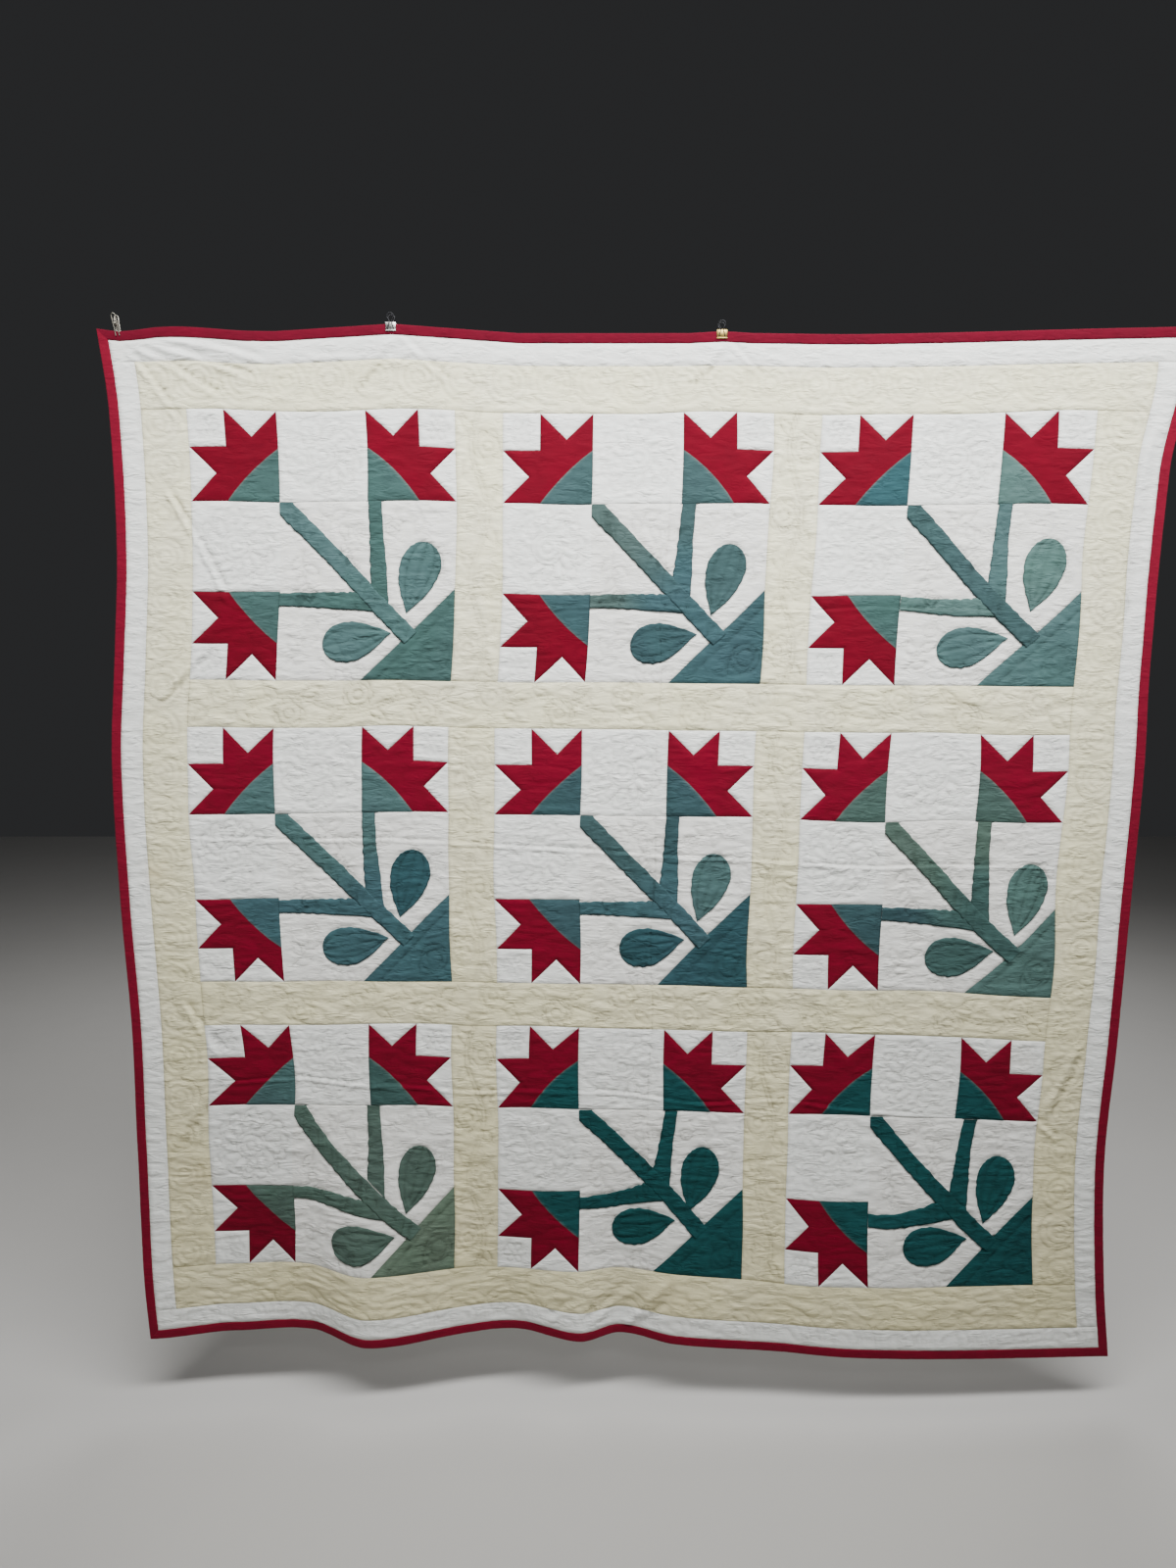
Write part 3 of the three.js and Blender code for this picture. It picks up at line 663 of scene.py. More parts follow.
@dataclass(frozen=True)
class LilyBlock:
    """The pieced block, cut patch by patch from flat cloth."""

    layout: Layout
    bow: float = 0.022
    raise_by: float = 0.0009
    raise_from_seam: float = 0.0042
    white_spread: float = 0.02
    white_cells: float = 40.0
    # How far the painted highlight pales a calyx's folded edge.
    fold_highlight: float = 0.25
    slack: float = 1e-6

    def lily(self) -> list[Patch]:
        """The patches of one lily in its unit square, its calyx at the lower right."""
        near, far = math.sqrt(2) - 1, 2 - math.sqrt(2)
        low, high = 1 - math.sqrt(0.5), math.sqrt(0.5)
        heart = (high, high)
        tips = [
            [heart, (near, 1), (0, 1), (low, high)],
            [heart, (low, high), (0, near), (near, near)],
            [heart, (near, near), (near, 0), (high, low)],
            [heart, (high, low), (1, 0), (1, near)],
        ]
        patches = [Patch("lily", Cloth.RED, tip, (1, 2)) for tip in tips]
        whites = [
            [(0, 0), (near, 0), (near, near), (0, near)],
            [(0, near), (low, high), (0, 1)],
            [(near, 0), (1, 0), (high, low)],
        ]
        patches += [Patch("ground", Cloth.WHITE, white) for white in whites]
        calyx = [(near, 1)]
        for share in (0.2, 0.4, 0.6, 0.8):
            out = 4 * self.bow * share * (1 - share)
            calyx.append((near + share * far - out, 1 - share * far - out))
        calyx += [(1, near), (1, 1)]
        patches.append(Patch("calyx", Cloth.GREEN, calyx, (5, 6), True))
        return patches

    def flowers(self) -> list[Patch]:
        """The three lilies and the two plain squares of a block."""
        turns: dict[str, Callable[[float, float], Point]] = {
            "calyx_left": lambda right, down: (right, down),
            "calyx_right": lambda right, down: (3 - right, down),
            "calyx_low": lambda right, down: (right, 3 - down),
        }
        found = []
        for name, turn in turns.items():
            for patch in self.lily():
                outline = [turn(*point) for point in patch.outline]
                part = name if patch.part == "calyx" else patch.part
                found.append(Patch(part, patch.cloth, outline, patch.seams, patch.raised))
        upper, left = [(1, 0), (2, 0), (2, 1), (1, 1)], [(0, 1), (1, 1), (1, 2), (0, 2)]
        return found + [Patch("square", Cloth.WHITE, upper), Patch("square", Cloth.WHITE, left, (0, 2, 3))]

    def corner(self, block: Block) -> list[Patch]:
        """The large white field and the green base, which differ from block to block."""
        reach = 2 - block.base / self.layout.unit
        return [
            Patch("field", Cloth.WHITE, [(1, 1), (3, 1), (3, reach), (reach, 3), (1, 3)], (0, 1, 2, 3)),
            Patch("base", Cloth.GREEN, [(3, reach), (3, 3), (reach, 3)]),
        ]

    def cut(self, patch: Patch) -> FlatCloth:
        """Cuts a patch from a fine grid of cloth, edge by edge.

        Args:
            patch: The patch.

        Returns:
            The patch's cloth, in metres right and down from the block's corner, not yet dyed.
        """
        corners = np.array(patch.outline) * self.layout.unit
        step = self.layout.block / round(self.layout.block / self.layout.step)
        low = np.floor(corners.min(axis=0) / step + self.slack)
        high = np.ceil(corners.max(axis=0) / step - self.slack)
        size, middle = (high - low) * step, (high + low) * step / 2
        select_none()
        cells = (high - low).astype(int)
        bpy.ops.mesh.primitive_grid_add(x_subdivisions=cells[0], y_subdivisions=cells[1], size=1)
        cutting = bpy.context.object
        cutting.scale = (size[0], size[1], 1)
        cutting.location = (middle[0], -middle[1], 0)
        bpy.ops.object.transform_apply(location=True, rotation=True, scale=True)
        bpy.ops.object.mode_set(mode="EDIT")
        centre = corners.mean(axis=0)
        edges = []
        for start, end in zip(corners, np.roll(corners, -1, axis=0)):
            along = (end - start) / np.linalg.norm(end - start)
            out = np.array([along[1], -along[0]])
            if np.dot(out, start - centre) < 0:
                out = -out
            edges.append((start, out))
            bpy.ops.mesh.select_all(action="SELECT")
            bpy.ops.mesh.bisect(
                plane_co=(start[0], -start[1], 0), plane_no=(out[0], -out[1], 0), clear_outer=True
            )
        bpy.ops.object.mode_set(mode="OBJECT")
        mesh = cutting.data
        right, down = np.array([(point.co.x, -point.co.y) for point in mesh.vertices]).T
        loops = np.array([loop.vertex_index for loop in mesh.loops])
        counts = np.array([face.loop_total for face in mesh.polygons])
        bpy.data.objects.remove(cutting)
        bpy.data.meshes.remove(mesh)
        away = [(start[0] - right) * out[0] + (start[1] - down) * out[1] for start, out in edges]
        seams = [away[index] for index in patch.seams] or away
        seam = np.maximum(np.min(seams, axis=0), 0)
        bowed = np.min(away[:-2], axis=0)
        lift = self.raise_by * (1 + rise(bowed / self.raise_from_seam)) / 2 if patch.raised else 0 * seam
        return FlatCloth(right, down, seam, loops, counts, np.zeros((len(seam), 3)), lift, 0 * seam)

    def laid(self, block: Block, patch: Patch, cut: FlatCloth, grain: Grain) -> FlatCloth:
        """A cut patch laid in its block, in its own dye, a calyx paled along its folded edge as a painted
        highlight.

        Args:
            block: The block.
            patch: The patch.
            cut: The patch's cloth.
            grain: Varies the whites a little from patch to patch.

        Returns:
            The patch's cloth on the flat quilt.
        """
        left, top = self.layout.in_block(block.row, block.column)
        across, down = left + cut.across, top + cut.down
        if patch.cloth is Cloth.WHITE:
            shade = self.white_spread * grain.at(across[:1] * self.white_cells, down[:1] * self.white_cells)
            lot = Dye.GREY_WHITE if patch.part == "field" else Dye.WHITE
            dye = tinted(lot, across) * (1 + shade)
        else:
            dye = tinted(block.red if patch.cloth is Cloth.RED else block.dye(patch.part), across)
        # Painted highlight along the calyx's bowed, folded edge.
        if patch.raised:
            fold = 2 - 2 * cut.lift / self.raise_by
            dye = dye + fold[:, None] * self.fold_highlight * (Dye.FOLD_HIGHLIGHT.light - dye)
        return replace(cut, across=across, down=down, dye=dye)


def arc(radius: float, start: float, end: float, points: int = 20) -> Line:
    """Part of a stitched ring round the origin, between two turns in radians."""
    turn = np.linspace(start, end, points)
    return radius * np.stack([np.cos(turn), np.sin(turn)], axis=1)


def ring(radius: float, points: int = 30) -> Line:
    """A stitched ring round the origin."""
    return arc(radius, 0, 2 * np.pi, points)


def petal(inner: float, outer: float, turn: float, half: float, curl: float = 0.0) -> Line:
    """A stitched petal that stands on a ring.

    Args:
        inner: Radius at the petal's foot.
        outer: Radius at its crown.
        turn: Its direction, in radians.
        half: Half the angle that its foot takes.
        curl: How far its crown is turned on.

    Returns:
        The petal's line.
    """
    t = np.linspace(0, np.pi, 15)
    reach = np.sin(t) ** PETAL_ROUND
    radius = inner + (outer - inner) * reach
    angle = turn + half * np.cos(t) + curl * reach
    return np.stack([radius * np.cos(angle), radius * np.sin(angle)], axis=1)


def leaf_loop(length: float, half: float) -> Line:
    """A stitched leaf from the origin along the first axis."""
    t = np.linspace(0, 1, 12)
    there = np.stack([length * t, half * np.sin(np.pi * t ** LEAF_ROUND)], axis=1)
    return np.concatenate([there, there[::-1] * (1, -1)])


def moved(lines: Iterable[Line], right: float, down: float, turn: float = 0.0,
          size: float = 1.0) -> list[Line]:
    """Stitched lines turned, sized and moved.

    Args:
        lines: The lines.
        right: How far right they go.
        down: How far down they go.
        turn: How far they turn, in radians.
        size: How many times larger they get.

    Returns:
        The new lines.
    """
    c, s = math.cos(turn) * size, math.sin(turn) * size
    spin = np.array([[c, s], [-s, c]])
    return [line @ spin + np.array([right, down]) for line in lines]


@dataclass(frozen=True)
class Sprig:
    """Where a stitched sprig lies in a block's large square, in units, and how it is turned."""

    right: float
    down: float
    turn: float
    size: float


@dataclass(frozen=True)
class QuiltingPlan:
    """The lines of the hand quilting on the flat quilt."""

    layout: Layout
    wreath_rings: tuple[float, ...] = (0.01, 0.023, 0.031)
    wreaths_at: Points = ((1.5, 0.5), (0.5, 1.5))
    feathers: int = 13
    feather: Point = (0.031, 0.062)
    feather_half: float = 0.46
    feather_curl: float = 0.25
    scallop: Point = (0.06, 0.076)
    scallop_half: float = 0.4
    scallop_curl: float = 0.1
    flower: Point = (0.006, 0.024)
    flower_half: float = 0.42
    flowers_at: Points = ((0.207, 0.207), (2.793, 0.207), (0.207, 2.793))
    rings_apart: float = 0.0853
    ring_radii: tuple[float, ...] = (0.013, 0.026, 0.04)
    ring_inset: float = 0.034
    fan_radii: tuple[float, ...] = (0.018, 0.036, 0.054, 0.072)
    fans_apart: float = 0.118
    fan_foot: float = 0.35
    fan_end: float = 0.1
    vine_wave: float = 0.26
    vine_swing: float = 0.016
    vine_half: float = 0.004
    vine_step: float = 0.008
    vine_flower: tuple[float, ...] = (0.01, 0.022, 0.031)
    vine_flower_aside: float = 0.018
    vine_scallops: int = 7
    vine_scallop_half: float = 0.4
    vine_leaf: Point = (0.04, 0.009)
    vine_leaf_ahead: float = 0.03
    vine_leaf_aside: float = 0.012
    vine_leaf_turns: Point = (0.6, 2.5)
    sprig_stem: tuple[float, ...] = (-0.04, 0.075, 0.01)
    sprig_leaf: Point = (0.036, 0.009)
    sprig_leaf_off: float = 0.004
    sprig_leaves: Points = ((-0.03, 0.9), (-0.012, -0.9), (0.008, 0.8))
    sprig_rings: tuple[tuple[float, int], ...] = ((0.013, 18), (0.006, 12))
    sprig_flower_at: Point = (0.048, 0.002)
    base_leaf: Point = (0.075, 0.02)
    base_leaf_at: Point = (2.62, 2.9)
    base_rings: Point = (0.016, 0.028)
    base_rings_at: Point = (2.8, 2.72)
    base_inset: float = 0.028
    base_end: float = 0.006
    sprigs: tuple[Sprig, ...] = (
        Sprig(1.66, 1.2, 25.0, 1.0), Sprig(1.3, 1.78, 80.0, 0.95),
        Sprig(2.55, 1.22, 160.0, 1.0), Sprig(1.22, 2.62, -60.0, 1.0),
        Sprig(1.72, 2.86, 5.0, 0.8), Sprig(2.88, 1.62, 100.0, 0.7),
        Sprig(1.8, 1.55, 60.0, 0.6),
    )

    def wreath(self) -> list[Line]:
        """A feathered wreath for a plain square."""
        lines = [ring(radius) for radius in self.wreath_rings]
        step = 2 * np.pi / self.feathers
        for index in range(self.feathers):
            lines.append(petal(*self.feather, index * step, step * self.feather_half, self.feather_curl))
            turn, half = (index + 0.5) * step, step * self.scallop_half
            lines.append(petal(*self.scallop, turn, half, self.scallop_curl))
        return lines

    def corner_flower(self) -> list[Line]:
        """A small flower for a lily's corner square."""
        turns = np.arange(6) * np.pi / 3
        return [ring(self.flower[0], 14), *(petal(*self.flower, turn, self.flower_half) for turn in turns)]

    def sprig(self) -> list[Line]:
        """A stem with leaves and a small round flower."""
        t = np.linspace(0, 1, 12)
        start, length, sway = self.sprig_stem
        lines = [np.stack([length * t + start, sway * np.sin(3 * t)], axis=1)]
        for at, turn in self.sprig_leaves:
            lines += moved([leaf_loop(*self.sprig_leaf)], at, self.sprig_leaf_off, turn)
        return lines + moved([ring(*size) for size in self.sprig_rings], *self.sprig_flower_at)

    def vine(self, length: float) -> list[Line]:
        """A running vine with flowers and leaves, along the first axis from the origin."""
        along = np.linspace(0, length, max(8, round(length / self.vine_step)))
        sway = self.vine_swing * np.sin(2 * np.pi * along / self.vine_wave)
        lines = [np.stack([along, sway + off], axis=1) for off in (-self.vine_half, self.vine_half)]
        heart, rim, reach = self.vine_flower
        turns = np.arange(self.vine_scallops) * 2 * np.pi / self.vine_scallops
        scallops = [petal(rim, reach, turn, self.vine_scallop_half) for turn in turns]
        flower = [ring(rim, 24), ring(heart, 14), *scallops]
        count = max(1, round(length / (self.vine_wave / 2)))
        for index in range(count):
            at = (index + 0.5) * length / count
            side = 1 if index % 2 else -1
            lines += moved(flower, at, side * self.vine_flower_aside)
            aside = -side * self.vine_leaf_aside
            for turn in self.vine_leaf_turns:
                start = at + self.vine_leaf_ahead * math.cos(turn)
                lines += moved([leaf_loop(*self.vine_leaf)], start, aside, -side * turn)
        return lines

    def vines(self) -> list[Line]:
        """The vines of all the sashes."""
        layout, found = self.layout, []
        for gap in range(1, layout.blocks):
            middle = layout.margin + gap * layout.pitch - layout.sash / 2
            run = layout.side - 2 * layout.margin
            found += moved(self.vine(run), layout.margin - layout.half, middle)
            for row in range(layout.blocks):
                top = layout.margin + row * layout.pitch
                upright = self.vine(layout.block)
                found += moved(upright, middle - layout.half, top, math.pi / 2)
        return found

    def rings(self) -> list[Line]:
        """Rows of rings in the top and side borders."""
        layout, found = self.layout, []
        inset = layout.binding + layout.white + self.ring_inset
        lines = [ring(radius) for radius in self.ring_radii]
        count = round((layout.side - 2 * inset) / self.rings_apart)
        for index in range(count + 1):
            along = inset + index * (layout.side - 2 * inset) / count
            found += moved(lines, along - layout.half, inset)
            if 0 < index < count:
                found += moved(lines, inset - layout.half, along)
                found += moved(lines, layout.half - inset, along)
        return found

    def fans(self) -> list[Line]:
        """A row of fans along the bottom border."""
        layout = self.layout
        foot = layout.side - layout.binding - layout.white * self.fan_foot
        lines = [arc(radius, math.pi, 2 * math.pi) for radius in self.fan_radii]
        count = round((layout.side - 2 * layout.binding) / self.fans_apart)
        end = layout.half - self.fan_end
        return [line for start in np.linspace(-end, end, count) for line in moved(lines, start, foot)]

    def in_block(self, block: Block, outlines: Iterable[Line]) -> list[Line]:
        """The quilting of one block.

        Args:
            block: The block.
            outlines: Lines stitched in the leaves, in metres from the block's corner.

        Returns:
            The lines on the flat quilt.
        """
        layout = self.layout
        unit, found = layout.unit, list(outlines)
        for right, down in self.wreaths_at:
            found += moved(self.wreath(), right * unit, down * unit)
        for right, down in self.flowers_at:
            found += moved(self.corner_flower(), right * unit, down * unit)
        for sprig in self.sprigs:
            turn = math.radians(sprig.turn)
            found += moved(self.sprig(), sprig.right * unit, sprig.down * unit, turn, sprig.size)
        right, down = self.base_leaf_at
        found += moved([leaf_loop(*self.base_leaf)], right * unit, down * unit, -math.pi / 4)
        right, down = self.base_rings_at
        found += moved([ring(radius) for radius in self.base_rings], right * unit, down * unit)
        near, far = 2 * unit + self.base_inset, 3 * unit - self.base_end
        found.append(np.array([[far, near], [near, far]]))
        return moved(found, *layout.in_block(block.row, block.column))


class Nearness:
    """Finds how far points of the flat quilt lie from the nearest of many lines."""

    def __init__(self, lines: Iterable[Line], spacing: float = 0.0022) -> None:
        """Marks points along the lines.

        Args:
            lines: The lines on the flat quilt.
            spacing: From one mark to the next.
        """
        points = []
        for line in lines:
            legs = np.linalg.norm(np.diff(line, axis=0), axis=1)
            run = np.concatenate([[0], np.cumsum(legs)])
            at = np.linspace(0, run[-1], max(2, round(run[-1] / spacing)))
            points.append(np.stack([np.interp(at, run, line[:, axis]) for axis in (0, 1)], axis=1))
        points = np.concatenate(points)
        self.tree = KDTree(len(points))
        for index, (across, down) in enumerate(points):
            self.tree.insert((across, down, 0), index)
        self.tree.balance()

    def distance(self, across: Array, down: Array) -> Array:
        """How far each point lies from a line."""
        find = self.tree.find
        found = (find((a, d, 0))[2] for a, d in zip(across.tolist(), down.tolist()))
        return np.fromiter(found, dtype=float, count=len(across))


@dataclass(frozen=True)
class Crease:
    """A crease pressed or dragged into the cloth, between two places on the flat quilt."""

    across: float
    down: float
    to_across: float
    to_down: float
    height: float
    width: float


@dataclass(frozen=True)
class Stain:
    """A soft stain on the flat quilt."""

    across: float
    down: float
    radius: float
    strength: float


@dataclass(frozen=True)
class Feel:
    """How a cloth takes crinkles: how high they stand, and how dark the creases between them are painted, as
    shade.
    """

    crinkles: float
    lines: float


# Per cloth: crinkle height, and the painted shade in the creases between crinkles.
FEELS = {
    Cloth.WHITE: Feel(0.8, 0.3),
    Cloth.CREAM: Feel(1.05, 0.28),
    Cloth.RED: Feel(0.7, 0.4),
    Cloth.GREEN: Feel(0.7, 0.45),
}


@dataclass(frozen=True)
class Relief:
    """The height of the quilt's front and back above the middle of its batting."""

    layout: Layout
    stitches: Nearness
    seam_level: float = 0.001
    puff: float = 0.0025
    crimped: float = 0.0005
    stitch_reach: float = 0.0085
    seam_reach: float = 0.0095
    seam_deep: float = 0.72
    back_level: float = 0.0013
    back_puff: float = 0.0009
    back_edge: float = 0.0009
    edge_near: float = 0.004
    edge_fade: float = 0.012
    crinkle: float = 0.00095
    crinkle_long: float = 0.043
    crinkle_tall: float = 0.0135
    crinkle_line: float = 0.22
    crinkle_swing: float = 2.4
    crinkle_round: float = 0.7
    crinkle_top: float = 0.8
    crinkle_lower: float = 0.36
    worn: float = 0.18
    worn_border: float = 0.2
    worn_cell: float = 0.09
    worn_from: Point = (7.7, 3.1)
    wave: float = 0.0012
    wave_long: float = 0.11
    wave_tall: float = 0.028
    wave_from: Point = (31.7, 5.3)
    lean: float = 0.006
    lean_cell: float = 0.06
    tight: float = 0.45
    at_seam: float = 0.25
    # Painted shadow along the line below each crease.
    fold_shadow: float = 0.5
    # Painted shade in the crimps over the stems and in the pressed ground round the sewn-on pieces.
    crimp_shade: float = 0.6
    back_crinkle: float = 0.6
    crease_sway: float = 0.01
    crease_waves: float = 6.0
    crease_rows: float = 97.0
    crease_end: float = 0.15
    crease_round: float = 1.5
    crease_foot: float = 1.3
    crease_dip: float = 0.6
    creases: tuple[Crease, ...] = (
        Crease(-1.01, 0.506, 1.01, 0.54, 0.0015, 0.0048), Crease(-1.01, 0.978, 1.01, 1.05, 0.0024, 0.005),
        Crease(-1.01, 1.497, 1.01, 1.555, 0.0028, 0.0052), Crease(0.06, 0.03, 0.05, 2.02, 0.001, 0.0045),
        Crease(-0.93, 0.29, -0.8, 0.53, 0.0036, 0.009), Crease(-0.845, 0.61, -0.94, 0.725, 0.0034, 0.009),
        Crease(-0.915, 1.32, -0.855, 1.445, 0.0032, 0.013),
        Crease(-0.85, 1.49, -0.945, 1.65, 0.0036, 0.013), Crease(0.985, 0.15, 0.94, 0.56, 0.003, 0.016),
        Crease(0.945, 1.38, 0.884, 1.55, 0.0036, 0.013), Crease(0.842, 1.543, 0.918, 1.598, 0.003, 0.008),
        Crease(0.105, 1.905, -0.004, 2.046, 0.005, 0.016),
        Crease(-0.155, 2.02, -0.085, 1.968, 0.003, 0.012),
        Crease(-0.075, 2.028, 0.045, 1.938, 0.0036, 0.017),
        Crease(-0.985, 0.022, -0.7, 0.06, 0.0034, 0.011), Crease(-0.985, 0.026, -0.73, 0.1, 0.0034, 0.011),
        Crease(-0.98, 0.032, -0.8, 0.14, 0.003, 0.011), Crease(-0.975, 0.04, -0.88, 0.19, 0.0026, 0.01),
        Crease(-0.64, 0.048, -0.43, 0.075, 0.0022, 0.01), Crease(-0.468, 0.02, -0.57, 0.12, 0.0022, 0.01),
        Crease(-0.468, 0.02, -0.365, 0.115, 0.0022, 0.01), Crease(0.158, 0.02, 0.09, 0.09, 0.0018, 0.009),
        Crease(0.158, 0.02, 0.23, 0.095, 0.0018, 0.009),
    )
    stains: tuple[Stain, ...] = (
        Stain(-0.95, 1.06, 0.05, 0.3), Stain(0.654, 0.712, 0.045, 0.16),
        Stain(0.534, 1.066, 0.05, 0.08), Stain(-0.9, 1.7, 0.07, 0.22),
        Stain(-0.47, 1.25, 0.12, 0.1), Stain(0.83, 1.42, 0.08, 0.12),
        Stain(0.12, 1.96, 0.1, 0.1), Stain(-0.7, 1.94, 0.14, 0.1),
    )
    fine: Grain = Grain(21)
    broad: Grain = Grain(22)
    sway: Grain = Grain(23)

    @staticmethod
    def hollow(distance: Array, reach: float) -> Array:
        """Nothing on a line, rising steeply and then gently to one at its reach."""
        t = np.clip(distance / reach, 0, 1)
        return (1 - (1 - t) ** 2) ** 0.8

    def quilted(self, cloth: FlatCloth) -> Array:
        """Nothing on a tight line of quilting, a little on a worn one, and one on a full puff."""
        hollow = self.hollow(self.stitches.distance(cloth.across, cloth.down), self.stitch_reach)
        right, lower = self.worn_from
        slack = self.broad.at(cloth.across / self.worn_cell + right, cloth.down / self.worn_cell + lower)
        in_border = self.layout.inset(cloth.across, cloth.down) < self.layout.margin
        worn = self.worn * (1 + slack) + self.worn_border * in_border
        return 1 - (1 - hollow) * (1 - worn)

    def creased(self, across: Array, down: Array) -> Pair:
        """The height that the creases add, and how near each point is to the line below a crease.

        Args:
            across: Places from the middle.
            down: Places below the top edge.

        Returns:
            The height, and one in the line below a crease.
        """
        total, line = np.zeros_like(across), np.zeros_like(across)
        for crease in self.creases:
            right, lower = across - crease.across, down - crease.down
            run = np.array([crease.to_across - crease.across, crease.to_down - crease.down])
            length = np.linalg.norm(run)
            along = (right * run[0] + lower * run[1]) / length
            aside = (right * run[1] - lower * run[0]) / length
            wander = self.sway.at(along * self.crease_waves, 0 * along + crease.down * self.crease_rows)
            aside = aside + self.crease_sway * wander
            end = self.crease_end * length
            ends = rise(along / end) * rise((length - along) / end)
            ridge = np.maximum(0, 1 - np.abs(aside) / crease.width) ** self.crease_round
            below = bump(np.abs(aside - self.crease_foot * crease.width) / crease.width)
            total += crease.height * ends * (ridge - self.crease_dip * below)
            line = np.maximum(line, ends * below ** 2)
        return total, line

    def crinkled(self, across: Array, down: Array) -> Pair:
        """The mostly level crinkles that washing leaves: small puffs parted by sharp creases.

        Args:
            across: Places from the middle.
            down: Places below the top edge.

        Returns:
            The height that they add, and one in the bottom of a crease.
        """
        lean = down + self.lean * self.broad.at(across / self.lean_cell, down / self.lean_cell)
        fine = np.abs(self.fine.at(across / self.crinkle_long, lean / self.crinkle_tall))
        u, v = across / self.wave_long + self.wave_from[0], lean / self.wave_tall + self.wave_from[1]
        puffs = self.crinkle * self.crinkle_swing * (fine ** self.crinkle_round - 0.5)
        return puffs + self.wave * 0.5 * self.broad.at(u, v), 1 - rise(fine / self.crinkle_line)

    def front(self, cloth: FlatCloth, feel: Feel) -> Pair:
        """The front's height and its depth in the stitching.

        Args:
            cloth: The cloth.
            feel: How it takes crinkles.

        Returns:
            The height of each point, and how deep it lies in a seam or a stitched line, with the crease
            bottoms, the lines below creases and the crimps added for painted shade.
        """
        inset = self.layout.inset(cloth.across, cloth.down) - self.layout.binding
        edge = self.hollow(np.maximum(inset, 0), self.seam_reach)
        seam = np.minimum(edge, self.hollow(cloth.seam, self.seam_reach))
        full = self.quilted(cloth) * np.minimum(edge, 1 - self.seam_deep * (1 - seam))
        rough, line = self.crinkled(cloth.across, cloth.down)
        rougher = self.crinkle_top + self.crinkle_lower * cloth.down
        free = (self.tight + (1 - self.tight) * full) * (self.at_seam + (1 - self.at_seam) * seam)
        loose = feel.crinkles * rougher * free
        crease, fold = self.creased(cloth.across, cloth.down)
        height = self.seam_level + self.puff * full + rough * loose + crease * seam
        height = height + cloth.lift - self.crimped * cloth.crimp
        # The ditch mask is painted darker by the finish: soil and painted shade in seams and stitching, and
        # painted shade in crease bottoms, below creases and in crimps.
        ditch = 1 - full + feel.lines * line * loose + self.fold_shadow * fold + self.crimp_shade * cloth.crimp
        return height, np.clip(ditch, 0, 1)

    def back(self, cloth: FlatCloth) -> Pair:
        """The back's height, below the middle, and its depth in the stitching.

        Args:
            cloth: The cloth.

        Returns:
            The height of each point, and how deep it lies in a stitched line.
        """
        full = self.quilted(cloth)
        rough, _ = self.crinkled(cloth.across, cloth.down)
        height = -self.back_level - self.back_puff * full + self.back_crinkle * rough
        height = np.minimum(height + self.creased(cloth.across, cloth.down)[0], -self.back_edge)
        inset = self.layout.inset(cloth.across, cloth.down) - self.layout.binding
        held = 1 - rise((inset - self.edge_near) / self.edge_fade)
        return height - held * (height + self.back_edge), 1 - full

    def stained(self, cloth: FlatCloth) -> Array:
        """How stained each point of a cloth is."""
        total = np.zeros_like(cloth.across)
        for stain in self.stains:
            away = np.hypot(cloth.across - stain.across, cloth.down - stain.down)
            total += stain.strength * bump(away / stain.radius)
        return total


